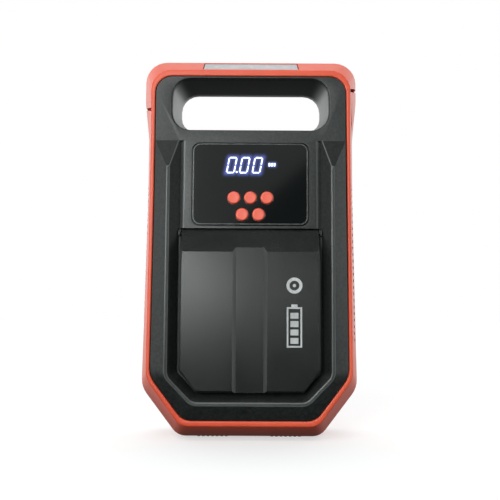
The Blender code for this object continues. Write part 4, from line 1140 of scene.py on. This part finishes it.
def plain_nodes():
    """Gives each CAD node that stays a finish by its slot in the record."""
    slots = {row["node"]: row["material_slot"] for row in frame["record"]["subparts"]}
    for name, item in frame["nodes"].items():
        finish = FINISHES["black_oxide" if name == "lid_hinge_pin" else slots[name]]
        for index in range(len(item.material_slots)):
            item.material_slots[index].material = finish


# ---------------------------------------------------------------- stage, light and camera

# Lengths from here on are in metres, and lamp powers in watts.
FLOOR_HALF = 6.0
FLOOR_FADE = (0.25, 1.3)
LAMP_COLOUR = (0.96, 1.0, 0.99)
CAMERA_PLACE = Vector((0.0, -0.5052, 0.0841))
CAMERA_PITCH = 5.0
CAMERA_ROLL = 0.3
CAMERA_LENS = 51.84
CAMERA_SENSOR = 36.0


def pale_ground():
    """A pale floor that shines evenly away from the pack and keeps only its near shadow."""
    bm = bmesh.new()
    bmesh.ops.create_grid(bm, x_segments=8, y_segments=8, size=FLOOR_HALF)
    mesh = bpy.data.meshes.new("floor")
    bm.to_mesh(mesh)
    bm.free()
    floor = bpy.data.objects.new("floor", mesh)
    bpy.context.scene.collection.objects.link(floor)
    pale, tree, shader = blank("pale_floor")
    place = add(tree, "TexCoord")
    reach = add(tree, "VectorMath", operation="LENGTH")
    wire(tree, (place.outputs["Object"], reach.inputs[0]))
    far = spread(tree, reach.outputs["Value"], *FLOOR_FADE, 0.0, 1.0)
    wire(
        tree,
        (mixed(tree, (0.50, 0.50, 0.50), (0.02, 0.02, 0.02), far), shader.inputs["Base Color"]),
        (mixed(tree, (0.52, 0.52, 0.52), (0.97, 0.97, 0.97), far), shader.inputs["Emission Color"]),
    )
    shader.inputs["Emission Strength"].default_value = 1.0
    shader.inputs["Roughness"].default_value = 0.9
    mesh.materials.append(pale)
    floor.visible_diffuse = False
    floor.visible_glossy = False


def surroundings():
    """White to the camera. Reflections find bright walls behind and beside the pack, and a dim ceiling."""
    world = bpy.data.worlds.new("studio")
    bpy.context.scene.world = world
    world.use_nodes = True
    tree = world.node_tree
    background = tree.nodes["Background"]
    place = add(tree, "TexCoord")
    split = add(tree, "SeparateXYZ")
    path = add(tree, "LightPath")
    wire(tree, (place.outputs["Generated"], split.inputs["Vector"]))
    behind = spread(tree, split.outputs["Y"], 0.0, 0.75, 0.0, 1.0)
    horizon = spread(tree, split.outputs["Z"], -0.25, 0.02, 0.0, 1.0)
    sideways = maths(tree, "ABSOLUTE", split.outputs["X"])
    low_sides = spread(tree, sideways, 0.3, 0.6, 0.06, 0.4)
    side_gain = spread(tree, sideways, 0.32, 0.55, 1.0, 2.0)
    behind = maths(tree, "MULTIPLY", behind, maths(tree, "MAXIMUM", horizon, low_sides))
    above = spread(tree, split.outputs["Z"], 0.05, 1.0, 0.0, 0.25)
    bright = maths(tree, "MAXIMUM", maths(tree, "MULTIPLY", behind, side_gain), above)
    shade = mixed(tree, (0.025, 0.026, 0.026), (2.2, 2.25, 2.25), maths(tree, "MULTIPLY", bright, 0.5))
    shade = mixed(tree, shade, (1.0, 1.0, 1.0), path.outputs["Is Camera Ray"])
    wire(tree, (shade, background.inputs["Color"]))


def lamp(name, place, aim_z, size, power, turn=0.0):
    """A soft box aimed at a height on the pack's middle axis, turned about its own beam by degrees."""
    data = bpy.data.lights.new(name, "AREA")
    data.shape = "RECTANGLE"
    data.size, data.size_y = size
    data.energy = power
    data.color = LAMP_COLOUR
    item = bpy.data.objects.new(name, data)
    item.location = place
    aim = (Vector((0.0, 0.0, aim_z)) - Vector(place)).to_track_quat("-Z", "Y").to_matrix()
    item.rotation_euler = (aim @ Matrix.Rotation(math.radians(turn), 3, "Z")).to_euler()
    bpy.context.scene.collection.objects.link(item)


def lights():
    lamp("high_key", (-0.375, -1.19, 0.39), aim_z=0.17, size=(0.33, 0.34), power=6.5)
    lamp("low_key_left", (-0.25, -1.19, 0.142), aim_z=0.10, size=(0.40, 0.155), power=1.2)
    lamp("low_key_right", (0.10, -1.19, 0.142), aim_z=0.10, size=(0.30, 0.155), power=0.24)
    lamp("front_fill", (-0.123, -1.327, 0.808), aim_z=0.17, size=(0.9, 0.9), power=1.2, turn=45.0)
    lamp("high_fill", (-0.25, -1.05, 1.25), aim_z=0.18, size=(0.9, 0.6), power=6.5)
    lamp("top_softbox", (0.0, 0.28, 1.2), aim_z=0.26, size=(0.8, 0.5), power=2.1)
    lamp("left_strip", (-1.09, -0.51, 0.25), aim_z=0.13, size=(1.0, 0.8), power=4.5)
    lamp("right_strip", (1.09, -0.51, 0.25), aim_z=0.13, size=(1.0, 0.8), power=4.5)


def camera():
    data = bpy.data.cameras.new("camera")
    data.lens = CAMERA_LENS
    data.sensor_width = CAMERA_SENSOR
    data.clip_start = 0.01
    item = bpy.data.objects.new("camera", data)
    pitch = Matrix.Rotation(math.radians(90.0 + CAMERA_PITCH), 4, "X")
    roll = Matrix.Rotation(math.radians(CAMERA_ROLL), 4, "Z")
    item.matrix_world = Matrix.Translation(CAMERA_PLACE) @ pitch @ roll
    bpy.context.scene.collection.objects.link(item)
    bpy.context.scene.camera = item
    bpy.context.scene.view_settings.view_transform = "Standard"


pale_ground()
surroundings()
lights()
camera()
plain_nodes()
housing_mouldings()
cover_moulding()
lid_moulding()
lid_print()
window_and_keys()
lit_figures()
side_covers()
socket_details()
flap_grips()
air_outlet()
tray_ribs()
housing_screws()
base_feet()
label()
